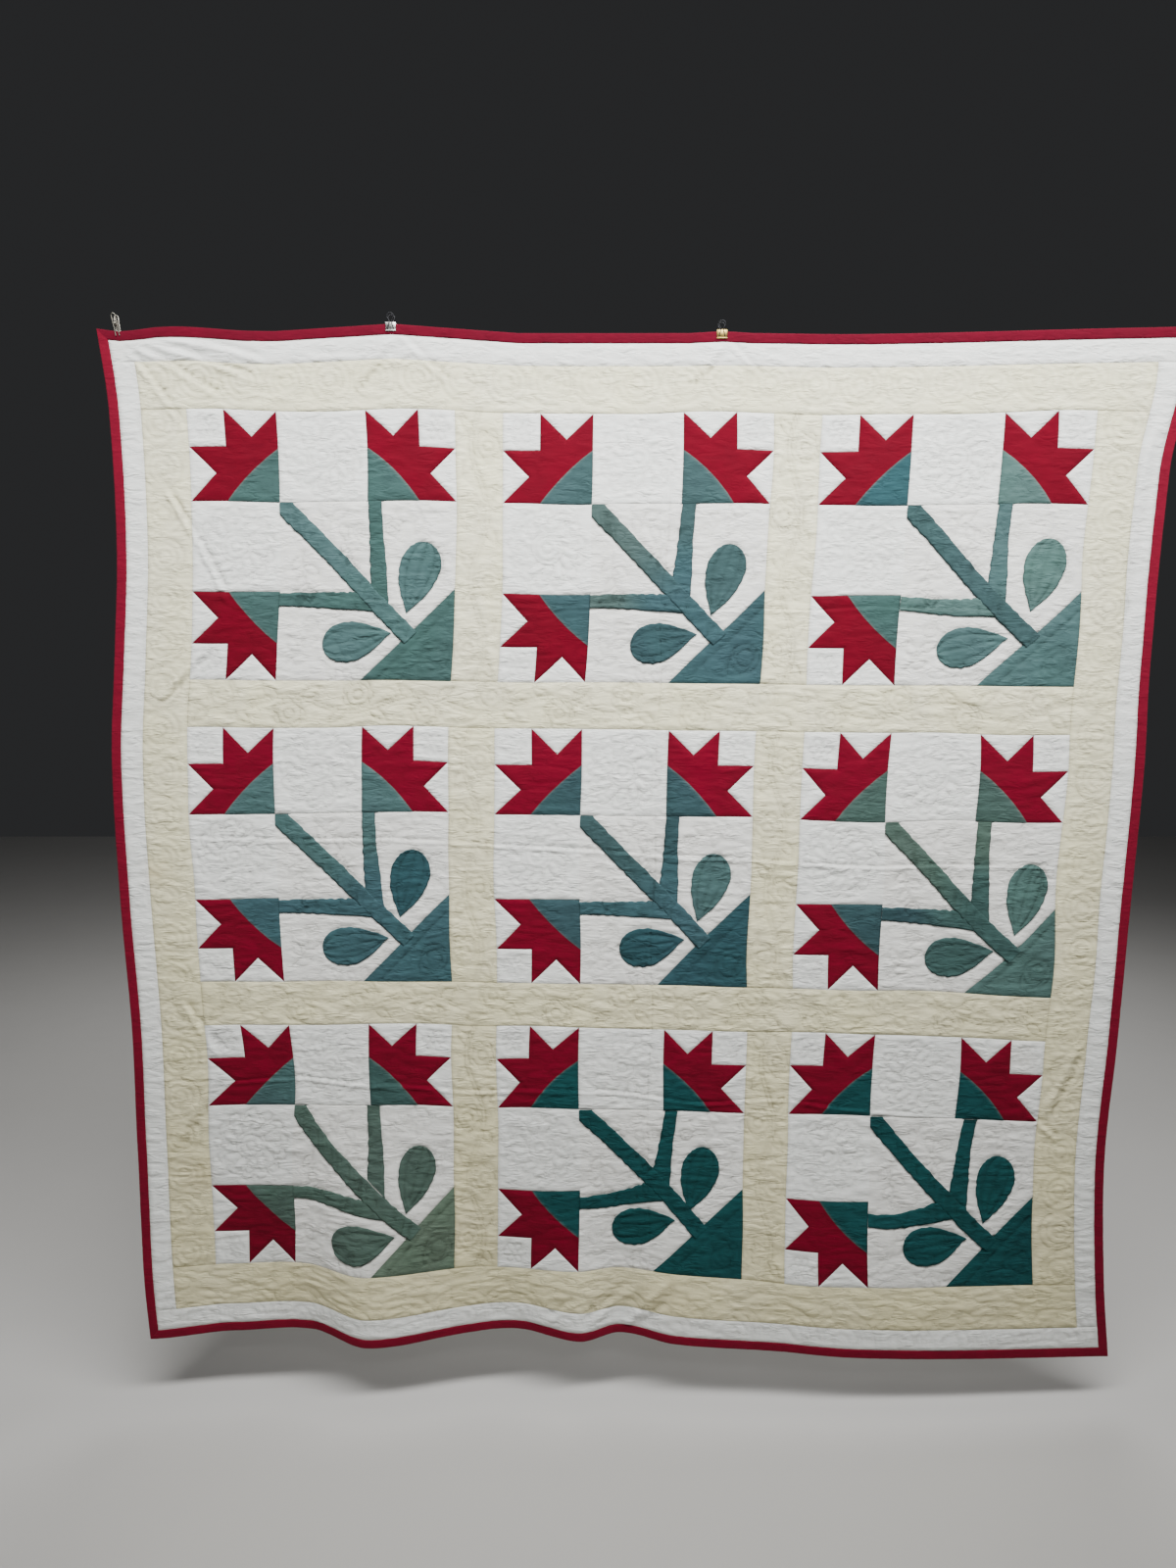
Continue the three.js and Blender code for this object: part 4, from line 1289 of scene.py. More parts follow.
@dataclass(frozen=True)
class Applique:
    """The stems and leaves sewn on each block, in units right and down from its corner."""

    layout: Layout
    stem_half: float = 0.017
    stem_end: float = 2.53
    side_top: float = 0.15
    side_foot: float = 0.11
    side_foot_at: float = 2.07
    side_bends: float = 0.02
    side_under: float = 0.6
    side_flare: float = 1.4
    side_slant: float = 0.55
    upper_tip: Point = (2.425, 2.25)
    upper_crown: Point = (2.645, 1.46)
    lower_tip: Point = (2.275, 2.44)
    lower_crown: Point = (1.51, 2.605)
    leaf_width: float = 0.079
    leaf_widest: float = 0.66
    vein_share: float = 0.62
    ragged: float = 0.0013
    ragged_rows: float = 3.1
    other_edge: float = 3.5
    step: float = 0.0032
    cloth: float = 0.0013
    edge: float = 0.0006
    turned: float = 0.003
    wall: float = 0.0012
    crimp_apart: float = 0.0075
    crimp_lean: float = 0.2
    crimp_wide: float = 9.0
    crimp_rows: float = 61.0
    crimp_deep: float = 0.8
    crimp_from: float = 0.05
    end_press: float = 0.3
    end_from: float = 0.94
    foot_from: float = 0.25
    foot_blend: float = 0.45
    # How far painted shade darkens the turned edge of a sewn-on piece.
    edge_shade: float = 0.2
    grain: Grain = Grain(31)

    def strip(self, middle: Array, aside: Array, width: Array, columns: int, seed: float) -> Sewn:
        """A strip of cloth along a line.

        Args:
            middle: The places of its middle line.
            aside: Which way is aside.
            width: Half its width at each place.
            columns: Points over its width.
            seed: Picks the raggedness of its edges.

        Returns:
            The points, in rows, how far each lies from the strip's edge, and the columns.
        """
        along = np.arange(len(middle)) / self.ragged_rows
        seeds = (seed, seed + self.other_edge)
        left, right = (width + self.ragged * self.grain.at(along, 0 * along + at) for at in seeds)
        over = np.concatenate([[-1], np.linspace(-1, 1, columns - 2), [1]])
        reach = np.where(over < 0, left[:, None] * over, right[:, None] * over)
        points = middle[:, None, :] + reach[:, :, None] * aside
        from_edge = width[:, None] * (1 - np.abs(over))
        from_edge[:, [0, -1]] = -1.0
        return points.reshape(-1, 2), from_edge.ravel(), columns

    def long_stem(self, block: Block) -> Sewn:
        """The long stem, its head pointed."""
        unit = self.layout.unit
        length = ((self.stem_end - 1) * unit - block.base / 2) * math.sqrt(2)
        along, aside = np.array([1, 1]) / math.sqrt(2), np.array([1, -1]) / math.sqrt(2)
        share = np.linspace(0, 1, round(length / self.step))
        bow = np.outer(block.bow * np.sin(np.pi * share), aside)
        middle = unit + np.outer(share * length, along) - bow
        columns = round(2 * self.stem_half / self.step) + 3
        width = np.full(len(share), self.stem_half)
        places, edge, _ = self.strip(middle, aside, width, columns, SEEDS["stem_long"])
        off, ahead = np.abs((places - unit) @ aside), (places - unit) @ along
        return places + np.outer(off - ahead * off / length, along), edge, columns

    def side_stem(self, block: Block, name: str) -> Sewn:
        """A side stem, from its calyx to the long stem, wider at its foot.

        Args:
            block: The block.
            name: Which of the two stems it is.

        Returns:
            Its strip of cloth.
        """
        unit, upright = self.layout.unit, name == "stem_upright"
        off, sag = (block.upright, 0.0) if upright else (block.side, block.sag)
        foot = self.side_foot_at * unit + off[1]
        top_half, foot_half = self.side_top / 2 * unit, self.side_foot * unit
        start = 2 * unit + top_half + off[0]
        rows, columns = round((foot - unit) / self.step), round(2 * top_half / self.step) + 5
        share = np.linspace(0, 1, rows)
        bend = rise(share) if abs(foot - start) > self.side_bends else share
        over = start + (foot - start) * bend + sag * np.sin(np.pi * share)
        length = foot - self.stem_half * self.side_under - unit
        middle = np.stack([over, unit + share * length], axis=1)
        width = top_half + (foot_half - top_half) * share ** self.side_flare
        places, edge, _ = self.strip(middle, np.array([1.0, 0.0]), width, columns, SEEDS[name])
        slant = rise((np.repeat(share, columns) - self.side_slant) / (1 - self.side_slant))
        places[:, 1] += (places[:, 0] - foot) * slant
        return places if upright else places[:, ::-1].copy(), edge, columns

    def leaf(self, name: str, tip: Point, crown: Point, off: Point) -> Sewn:
        """A leaf with a pointed tip and a round crown.

        Args:
            name: Which of the two leaves it is.
            tip: Its tip.
            crown: The top of its crown.
            off: How far right and down it is moved.

        Returns:
            Its strip of cloth.
        """
        unit, widest = self.layout.unit, self.leaf_widest
        start, axis = np.array(tip) * unit + off, (np.array(crown) - np.array(tip)) * unit
        length = np.linalg.norm(axis)
        rows, columns = round(1.5 * length / self.step), round(self.leaf_width / self.step) + 3
        share = np.sin(np.linspace(0, 1, rows) * np.pi / 2)
        rising = np.sin(np.clip(share / widest, 0, 1) * np.pi / 2)
        falling = np.sqrt(np.clip(1 - ((share - widest) / (1 - widest)) ** 2, 0, 1))
        width = self.leaf_width / 2 * np.where(share < widest, rising, falling)
        aside = np.array([-axis[1], axis[0]]) / length
        places, edge, _ = self.strip(start + np.outer(share, axis), aside, width, columns, SEEDS[name])
        from_end = np.repeat(np.minimum(share, 1 - share) * length, columns)
        return places, np.minimum(edge, from_end), columns

    def pieces(self, block: Block) -> dict[str, Sewn]:
        """The five pieces of a block, by the names of their parts."""
        return {
            "stem_upright": self.side_stem(block, "stem_upright"),
            "stem_side": self.side_stem(block, "stem_side"),
            "leaf_upper": self.leaf("leaf_upper", self.upper_tip, self.upper_crown, block.upper),
            "leaf_lower": self.leaf("leaf_lower", self.lower_tip, self.lower_crown, block.lower),
            "stem_long": self.long_stem(block),
        }

    def veins(self, block: Block) -> list[Line]:
        """Quilting in the leaves of a block, in metres from its corner."""
        found = []
        for name, (places, _, columns) in self.pieces(block).items():
            if name.startswith("leaf"):
                rows = places.reshape(-1, columns, 2)
                middle = rows.mean(axis=1, keepdims=True)
                inner = (middle + (rows - middle) * self.vein_share)[6:-5]
                found += [inner[:, 0], inner[:, -1], middle[8:-9, 0]]
        return found

    def rows(self, block: Block) -> list[Line]:
        """Lines over all the pieces of a block, on the flat quilt."""
        corner = np.array(self.layout.in_block(block.row, block.column))
        pieces = self.pieces(block).values()
        return [row + corner for places, _, columns in pieces for row in places.reshape(-1, columns, 2)]

    def lifted(self, name: str, edge: Array, share: Array) -> Array:
        """How far the points of a piece stand above the ground.

        Args:
            name: The piece's part.
            edge: How far each point lies from the piece's edge.
            share: How far along the piece each point lies.

        Returns:
            Each point's lift, sunk into the ground at the piece's wall.
        """
        lift = self.edge + (self.cloth - self.edge) * rise(edge / self.turned)
        if name == "stem_long":
            lift = lift + self.edge
        elif name.startswith("stem"):
            lift = lift * (1 - self.end_press * rise((share - self.end_from) / (1 - self.end_from)))
        return np.where(edge < -0.5, -self.wall, lift)

    def crimped(self, block: Block, row: Array, column: Array) -> Array:
        """How deep each point of a stem lies in the small crimps over it."""
        along = row * self.step / self.crimp_apart + self.crimp_lean * column
        pattern = self.grain.at(along, column / self.crimp_wide + self.crimp_rows * block.row)
        return self.crimp_deep * rise((self.crimp_from - pattern) / 0.5)

    def dyed(self, block: Block, name: str, edge: Array, share: Array) -> Array:
        """The dye of a piece, with painted shade darkening its turned edge, and a stem's foot in a dye of its
        own if it has one.

        Args:
            block: The block.
            name: The piece's part.
            edge: How far each point lies from the piece's edge.
            share: How far along the piece each point lies.

        Returns:
            One colour a point.
        """
        dye = tinted(block.dye(name), edge)
        if name.startswith("stem") and "foot" in block.others:
            foot = rise((share - self.foot_from) / self.foot_blend)[:, None]
            dye = dye + foot * (block.others["foot"].light - dye)
        # Painted shade along the turned edge.
        return dye * (1 - self.edge_shade * (1 - rise(edge / self.turned)))[:, None]

    def sewn_on(self, block: Block) -> FlatCloth:
        """The pieces of a block as cloth on the flat quilt.

        Args:
            block: The block.

        Returns:
            The cloth, with each point's lift above the ground below it.
        """
        left, top = self.layout.in_block(block.row, block.column)
        found = []
        for name, (places, edge, columns) in self.pieces(block).items():
            rows = len(places) // columns
            quads = grid_quads(rows, columns)
            if name in ("stem_upright", "stem_long"):
                quads = quads[:, ::-1]
            row, column = np.divmod(np.arange(len(edge)), columns)
            lift, edge = self.lifted(name, edge, row / (rows - 1)), np.maximum(edge, 0)
            crimp = self.crimped(block, row, column) if name.startswith("stem") else 0 * edge
            found.append(FlatCloth(
                left + places[:, 0], top + places[:, 1], np.ones_like(edge), quads.ravel(),
                np.full(len(quads), 4), self.dyed(block, name, edge, row / rows), lift, crimp,
            ))
        return FlatCloth.joined(found)


class Graph:
    """A material's nodes, laid down one by one."""

    def __init__(self, name: str) -> None:
        """Starts a material of that name with one shader."""
        self.material = bpy.data.materials.new(name)
        self.material.use_nodes = True
        self.tree = self.material.node_tree
        self.shader = self.tree.nodes["Principled BSDF"]
        self.coords = self.node("TexCoord", "Object", {})

    def plug(self, node: bpy.types.Node, sockets: Sockets) -> None:
        """Fills a node's inputs, each with a link from an output or with a plain value."""
        for name, value in sockets.items():
            if isinstance(value, Socket):
                self.tree.links.new(value, node.inputs[name])
            else:
                node.inputs[name].default_value = value

    def node(self, kind: str, output: str | int, sockets: Sockets, **values: object) -> Socket:
        """Adds a node.

        Args:
            kind: The node's kind.
            output: The output that is wanted.
            sockets: What goes into its inputs.
            values: Its own settings.

        Returns:
            The output.
        """
        made = self.tree.nodes.new(f"ShaderNode{kind}")
        for name, value in values.items():
            setattr(made, name, value)
        self.plug(made, sockets)
        return made.outputs[output]

    def attribute(self, name: str, output: str) -> Socket:
        """An attribute of the piece."""
        return self.node("Attribute", output, {}, attribute_name=name)

    def stretched(self, stretch: Colour) -> Socket:
        """The piece's own coordinates, made finer along each axis."""
        return self.node("Mapping", "Vector", {"Vector": self.coords, "Scale": stretch})

    def noise(self, scale: float, stretch: Colour = (1, 1, 1), detail: float = 3.0,
              roughness: float = 0.55, distortion: float = 0.0) -> Socket:
        """Noise on the piece's own coordinates.

        Args:
            scale: Cells a metre.
            stretch: How much finer it is along each axis.
            detail: Finer layers.
            roughness: How strong the finer layers are.
            distortion: How far it is stirred.

        Returns:
            The noise's value.
        """
        sockets = {"Vector": self.stretched(stretch), "Scale": scale, "Detail": detail}
        sockets.update({"Roughness": roughness, "Distortion": distortion})
        return self.node("TexNoise", "Fac", sockets)

    def puffs(self, stretch: Colour, stir: float, wander: float = 1.3) -> Socket:
        """Small puffs parted by sharp creases.

        Args:
            stretch: Puffs a metre along each axis.
            stir: How far the creases wander, in puffs.
            wander: How often they wander in each puff.

        Returns:
            Nothing in a crease, and more towards the middle of a puff.
        """
        at = self.stretched(stretch)
        off = self.node("TexNoise", "Color", {"Vector": at, "Scale": wander})
        sockets = {0: off, 1: (stir, stir, stir), 2: at}
        stirred = self.node("VectorMath", "Vector", sockets, operation="MULTIPLY_ADD")
        sockets = {"Vector": stirred, "Scale": 1.0}
        return self.node("TexVoronoi", "Distance", sockets, feature="DISTANCE_TO_EDGE")

    def weave(self, scale: float, direction: str, stir: float = 1.2) -> Socket:
        """Threads that run one way."""
        sockets = {"Vector": self.coords, "Scale": scale, "Distortion": stir}
        return self.node("TexWave", "Fac", sockets, bands_direction=direction)

    def spread(self, value: Socket, low: float, high: float, start: float = 0.3, end: float = 0.7) -> Socket:
        """A value spread over a new range, from low at its start to high at its end."""
        sockets = {"Value": value, "From Min": start, "From Max": end, "To Min": low, "To Max": high}
        return self.node("MapRange", "Result", sockets)

    def product(self, first: Socket, second: Socket | float) -> Socket:
        """Two values multiplied."""
        return self.node("Math", "Value", {0: first, 1: second}, operation="MULTIPLY")

    def mix(self, factor: Socket, first: Colour | Socket, second: Colour | Socket,
            blend: str = "MIX") -> Socket:
        """Two colours mixed.

        Args:
            factor: How much of the second.
            first: The first colour.
            second: The second colour.
            blend: How they mix.

        Returns:
            The mixed colour.
        """
        pair = [(*colour, 1.0) if isinstance(colour, tuple) else colour for colour in (first, second)]
        sockets = {0: factor, 6: pair[0], 7: pair[1]}
        return self.node("Mix", 2, sockets, data_type="RGBA", blend_type=blend)

    def shaded(self, colour: Socket, value: Socket) -> Socket:
        """A colour made darker or lighter by a value around one."""
        sockets = {0: colour, "Scale": value}
        return self.node("VectorMath", "Vector", sockets, operation="SCALE")

    def raised(self, height: Socket, distance: float, strength: float, below: Socket | None = None) -> Socket:
        """A bump on top of another.

        Args:
            height: The bump's height.
            distance: How high it stands, in metres.
            strength: How much of it shows.
            below: The bump that it stands on.

        Returns:
            The bumped direction.
        """
        sockets = {"Distance": distance, "Strength": strength, "Height": height}
        if below is not None:
            sockets["Normal"] = below
        return self.node("Bump", "Normal", sockets)


@dataclass(frozen=True)
class CottonFinish:
    """Washed cotton: dye that has faded unevenly, soil and painted shade in the stitching, painted shade in
    the creases, crinkles and a weave.
    """

    name: str
    mottle: float
    # How far the crinkles wear the ridges lighter and paint shade in the hollows.
    fade: float
    # How far the ditch darkens the colour towards the shadow colour: partly soil, partly painted shade.
    soil_and_shade: float
    crinkle: float
    # How far painted shade darkens the creases between puffs and the stitched dents.
    line: float
    stained: bool
    hue: Colour = (1.0, 1.0, 1.0)
    sheen: float = 0.02
    shadow: Colour = (0.36, 0.34, 0.3)
    tan: Colour = (0.42, 0.3, 0.15)
    threads: float = 340.0
    wefts: float = 363.8
    weave: Point = (0.0001, 0.35)
    blotches: float = 11.0
    hues: float = 7.0
    stains: float = 22.0
    crinkles: Colour = (24, 24, 150)
    crinkle_high: float = 0.0016
    fade_up: float = 0.6
    puffs: Colour = (21, 21, 68)
    puff_stir: float = 1.6
    puff_line: float = 0.11
    puff_full: float = 0.3
    puff_high: float = 0.003
    breaks: Colour = (26, 26, 44)
    slubs: Colour = (60, 60, 900)
    slub: float = 0.025
    thread_range: Point = (0.56, 0.88)
    thread_deep: float = 0.001
    thread_shows: float = 0.6
    roughness: Point = (0.86, 0.96)
    specular: float = 0.12

    def coloured(self, graph: Graph, lines: Socket, stitch_dents: Socket, crinkle: Socket,
                 blotches: Socket) -> Socket:
        """The cloth's colour: its dye, faded, darkened by soil and painted shade in the stitching, painted
        shade in the creases, and stained.

        Args:
            graph: The finish's nodes.
            lines: The creases between the puffs, painted darker as shade.
            stitch_dents: The dents along the stitching, painted darker as shade.
            crinkle: The fine crinkles, their ridges worn lighter and their hollows painted darker as shade.
            blotches: The uneven fading.

        Returns:
            The colour.
        """
        colour, ditch = graph.attribute("dye", "Color"), graph.attribute("ditch", "Fac")
        colour = graph.shaded(colour, graph.spread(blotches, 1 - self.mottle, 1 + self.mottle))
        # Wear and painted shade: crinkle ridges are worn lighter, and the hollows between them are painted
        # darker as shade.
        worn_and_shaded_by = graph.spread(crinkle, 1 - self.fade, 1 + self.fade * self.fade_up, 0.28, 0.72)
        colour = graph.shaded(colour, worn_and_shaded_by)
        # Painted shade in the creases between the puffs.
        colour = graph.shaded(colour, graph.spread(lines, 1.0, 1 - self.line, 0.0, 1.0))
        hue = graph.spread(graph.noise(self.hues, detail=4.0, distortion=0.6), 0.0, 1.0, 0.35, 0.65)
        colour = graph.mix(hue, colour, self.hue, "MULTIPLY")
        slub = graph.noise(1.0, self.slubs, detail=2.0)
        colour = graph.shaded(colour, graph.spread(slub, 1 - self.slub, 1 + self.slub))
        # Soil and painted shade: the colour darkens towards the shadow colour where the ditch mask is deep.
        colour = graph.mix(graph.product(ditch, self.soil_and_shade), colour, self.shadow, "MULTIPLY")
        # Painted shade in the dents along the stitching.
        colour = graph.shaded(colour, graph.spread(stitch_dents, 1.0, 1 - self.line, 0.0, 1.0))
        if self.stained:
            patchy = graph.spread(graph.noise(self.stains, detail=5.0, distortion=0.8), 0.2, 1.0)
            colour = graph.mix(graph.product(graph.attribute("stain", "Fac"), patchy), colour, self.tan)
        return colour

    def build(self) -> Material:
        """Lays down the finish's nodes."""
        graph = Graph(self.name)
        blotches = graph.noise(self.blotches, detail=6.0, roughness=0.62, distortion=0.4)
        crinkle = graph.noise(1.0, self.crinkles, detail=3.0, roughness=0.6, distortion=0.5)
        puffs = graph.puffs(self.puffs, self.puff_stir)
        broken = graph.spread(graph.noise(1.0, self.breaks, detail=2.0), 0.0, 1.0, 0.36, 0.62)
        # The creases between the puffs, a mask for painted shade.
        lines = graph.product(graph.spread(puffs, 1.0, 0.0, 0.0, self.puff_line), broken)
        # The dents along the stitching: sunk by the bump and painted darker as shade.
        stitch_dents = graph.spread(graph.attribute("ditch", "Fac"), 0.0, 1.0, *self.thread_range)
        bumped = graph.raised(graph.weave(self.threads, "X"), *self.weave)
        bumped = graph.raised(graph.weave(self.wefts, "Z"), *self.weave, bumped)
        bumped = graph.raised(crinkle, self.crinkle_high, self.crinkle, bumped)
        full = graph.product(graph.spread(puffs, 0.0, 1.0, 0.0, self.puff_full), broken)
        bumped = graph.raised(full, self.puff_high, self.crinkle, bumped)
        sunk = graph.spread(stitch_dents, 1.0, 0.0, 0.0, 1.0)
        graph.plug(graph.shader, {
            "Base Color": self.coloured(graph, lines, stitch_dents, crinkle, blotches),
            "Normal": graph.raised(sunk, self.thread_deep, self.thread_shows, bumped),
            "Roughness": graph.spread(blotches, *self.roughness),
            "Specular IOR Level": self.specular, "Sheen Weight": self.sheen, "Sheen Roughness": 0.5,
        })
        return graph.material


@dataclass(frozen=True)
class MetalFinish:
    """Plated or bare metal, dulled and finely scratched."""

    name: str
    colour: Colour
    dull: Colour
    roughness: float
    wear: float = 420.0
    scratches: Colour = (2600, 2600, 240)
    scratch_deep: float = 0.00004
    scratch_shows: float = 0.25

    def build(self) -> Material:
        """Lays down the finish's nodes."""
        graph = Graph(self.name)
        worn = graph.spread(graph.noise(self.wear, detail=5.0, roughness=0.65), 0.0, 0.7, 0.4, 0.68)
        scratch = graph.noise(1.0, self.scratches, detail=2.0)
        graph.plug(graph.shader, {
            "Base Color": graph.mix(worn, self.colour, self.dull),
            "Metallic": 1.0,
            "Roughness": graph.spread(scratch, self.roughness, self.roughness + 0.2),
            "Normal": graph.raised(scratch, self.scratch_deep, self.scratch_shows),
        })
        return graph.material


@dataclass(frozen=True)
class FloorFinish:
    """A plain pale floor."""

    colour: Colour = (0.52, 0.51, 0.49)

    def build(self) -> Material:
        """Lays down the finish's nodes."""
        graph = Graph("pale_floor")
        roughness = graph.spread(graph.noise(6.0, detail=4.0), 0.55, 0.7)
        graph.plug(graph.shader, {"Base Color": (*self.colour, 1.0), "Roughness": roughness})
        return graph.material


class Finishes:
    """The finishes that the pieces share."""

    def __init__(self) -> None:
        """Builds each finish once."""
        cottons = {
            Cloth.WHITE: CottonFinish("white_cotton", 0.02, 0.03, 0.24, 0.42, 0.09, True),
            Cloth.CREAM: CottonFinish("cream_cotton", 0.03, 0.04, 0.38, 0.44, 0.17, True, (1.0, 1.0, 0.94)),
            Cloth.RED: CottonFinish("red_cotton", 0.08, 0.08, 0.16, 0.22, 0.1, False),
            Cloth.GREEN: CottonFinish(
                "green_cotton", 0.12, 0.14, 0.34, 0.42, 0.2, False, (0.94, 1.02, 0.98)
            ),
        }
        self.cotton = {cloth: finish.build() for cloth, finish in cottons.items()}
        self.steel = MetalFinish("plated_steel", (0.66, 0.66, 0.63), (0.38, 0.37, 0.34), 0.22).build()
        self.brass = MetalFinish("gold_plate", (0.56, 0.4, 0.13), (0.28, 0.21, 0.09), 0.24).build()
        self.dark_wire = MetalFinish("dark_wire", (0.045, 0.045, 0.05), (0.02, 0.02, 0.02), 0.42).build()
        self.bright_wire = MetalFinish("bright_wire", (0.34, 0.32, 0.27), (0.13, 0.12, 0.1), 0.3).build()


@dataclass
class QuiltTop:
    """The pieced and quilted front, and the backing behind it."""

    layout: Layout
    hang: Hang
    relief: Relief
    finishes: Finishes
    back_step: float = 0.0098
    press: float = 0.001
    press_near: float = 0.0028
    press_fade: float = 0.003
    # The crimp of the pressed ground: it sinks the cloth and also paints shade there.
    press_crimp: float = 0.6
    grain: Grain = Grain(41)

    def hung(self, name: str, cloth: FlatCloth, relief: Pair, kind: Cloth, *nodes: str) -> Piece:
        """Hangs a cloth as a piece.

        Args:
            name: The piece's name.
            cloth: The flat cloth.
            relief: Each point's height and its depth in the stitching.
            kind: Which cloth it is.
            nodes: The solids that it stands for.

        Returns:
            The piece.
        """
        height, ditch = relief
        places = self.hang.on_cloth(cloth.across, cloth.down, height)
        piece = new_mesh(name, places, cloth.corners, cloth.counts)
        paint(piece, cloth.dye, ditch, self.relief.stained(cloth))
        finish_piece(piece, self.finishes.cotton[kind], kind.value, *nodes)
        return piece

    def sew(self, name: str, cloth: FlatCloth, kind: Cloth) -> Piece:
        """Hangs a cloth of the pieced front."""
        return self.hung(name, cloth, self.relief.front(cloth, FEELS[kind]), kind, "quilt_body")

    def strip(self, columns: tuple[int, int], rows: tuple[int, int], dye: Dye) -> FlatCloth:
        """A strip of cloth over runs of bands, first and last, across and down."""
        across = self.layout.lines(*columns) - self.layout.half
        return FlatCloth.from_lines(across, self.layout.lines(*rows), dye)

    def border(self, low: int, high: int, dye: Dye) -> FlatCloth:
        """A border of four strips round a run of bands: its top, foot, left and right."""
        ends = (low, high - 1)
        strips = [self.strip((low, high), (at, at + 1), dye) for at in ends]
        strips += [self.strip((at, at + 1), (low + 1, high - 1), dye) for at in ends]
        return FlatCloth.joined(strips)

    def borders(self) -> list[Piece]:
        """The white border, the cream border and the sashes."""
        found = [self.sew("white_border", self.border(0, 9, Dye.WHITE), Cloth.WHITE)]
        sashes = [self.strip((2, 7), (gap, gap + 1), Dye.CREAM) for gap in (3, 5)]
        for gap in (3, 5):
            sashes += [self.strip((gap, gap + 1), (row, row + 1), Dye.CREAM) for row in (2, 4, 6)]
        creams = {"cream_border": self.border(1, 8, Dye.CREAM), "sashes": FlatCloth.joined(sashes)}
        for name, cloth in creams.items():
            worn = faded(cloth, Dye.PALE_CREAM, Dye.CREAM, self.layout.side)
            found.append(self.sew(name, worn, Cloth.CREAM))
        return found

    def pressed(self, cloth: FlatCloth, sewn: Nearness) -> FlatCloth:
        """Cloth pressed down under the sewn-on pieces and close round them, where the crimp also paints
        shade.
        """
        away = sewn.distance(cloth.across, cloth.down)
        share = 1 - rise((away - self.press_near) / self.press_fade)
        return replace(cloth, lift=cloth.lift - self.press * share, crimp=self.press_crimp * share)

    def blocks(self, sewing: Applique) -> list[Piece]:
        """The patchwork of the nine blocks: the ground by rows, the lilies, and the green patches."""
        lily = LilyBlock(self.layout)
        flowers = [(patch, lily.cut(patch)) for patch in lily.flowers()]
        by_name: dict[str, tuple[Cloth, list[FlatCloth]]] = {}
        for block in BLOCKS:
            sewn = Nearness(sewing.rows(block))
            corner = [(patch, lily.cut(patch)) for patch in lily.corner(block)]
            for patch, cut in flowers + corner:
                names = {Cloth.RED: "lilies", Cloth.GREEN: "calyxes", Cloth.WHITE: f"ground_{block.row + 1}"}
                group = by_name.setdefault(names[patch.cloth], (patch.cloth, []))
                laid = lily.laid(block, patch, cut, self.grain)
                group[1].append(self.pressed(laid, sewn) if patch.part == "field" else laid)
        return [self.sew(name, FlatCloth.joined(group), cloth) for name, (cloth, group) in by_name.items()]

    def applique(self, sewing: Applique) -> list[Piece]:
        """The stems and leaves, one piece for each block."""
        found = []
        for block in BLOCKS:
            cloth = sewing.sewn_on(block)
            relief = self.relief.front(cloth, FEELS[Cloth.WHITE])
            nodes = [f"{part}_{block.label}" for part in sewing.pieces(block)]
            found.append(self.hung(f"applique_{block.label}", cloth, relief, Cloth.GREEN, *nodes))
        return found

    def backing(self) -> Piece:
        """The plain back of the quilt."""
        layout = self.layout
        count = round(layout.side / self.back_step)
        lines = np.linspace(layout.tucked, layout.side - layout.tucked, count)
        cloth = FlatCloth.from_lines(lines - layout.half, lines, Dye.BACKING)
        turned = replace(cloth, corners=cloth.corners.reshape(-1, 4)[:, ::-1].ravel())
        return self.hung("backing", turned, self.relief.back(cloth), Cloth.WHITE, "quilt_body")


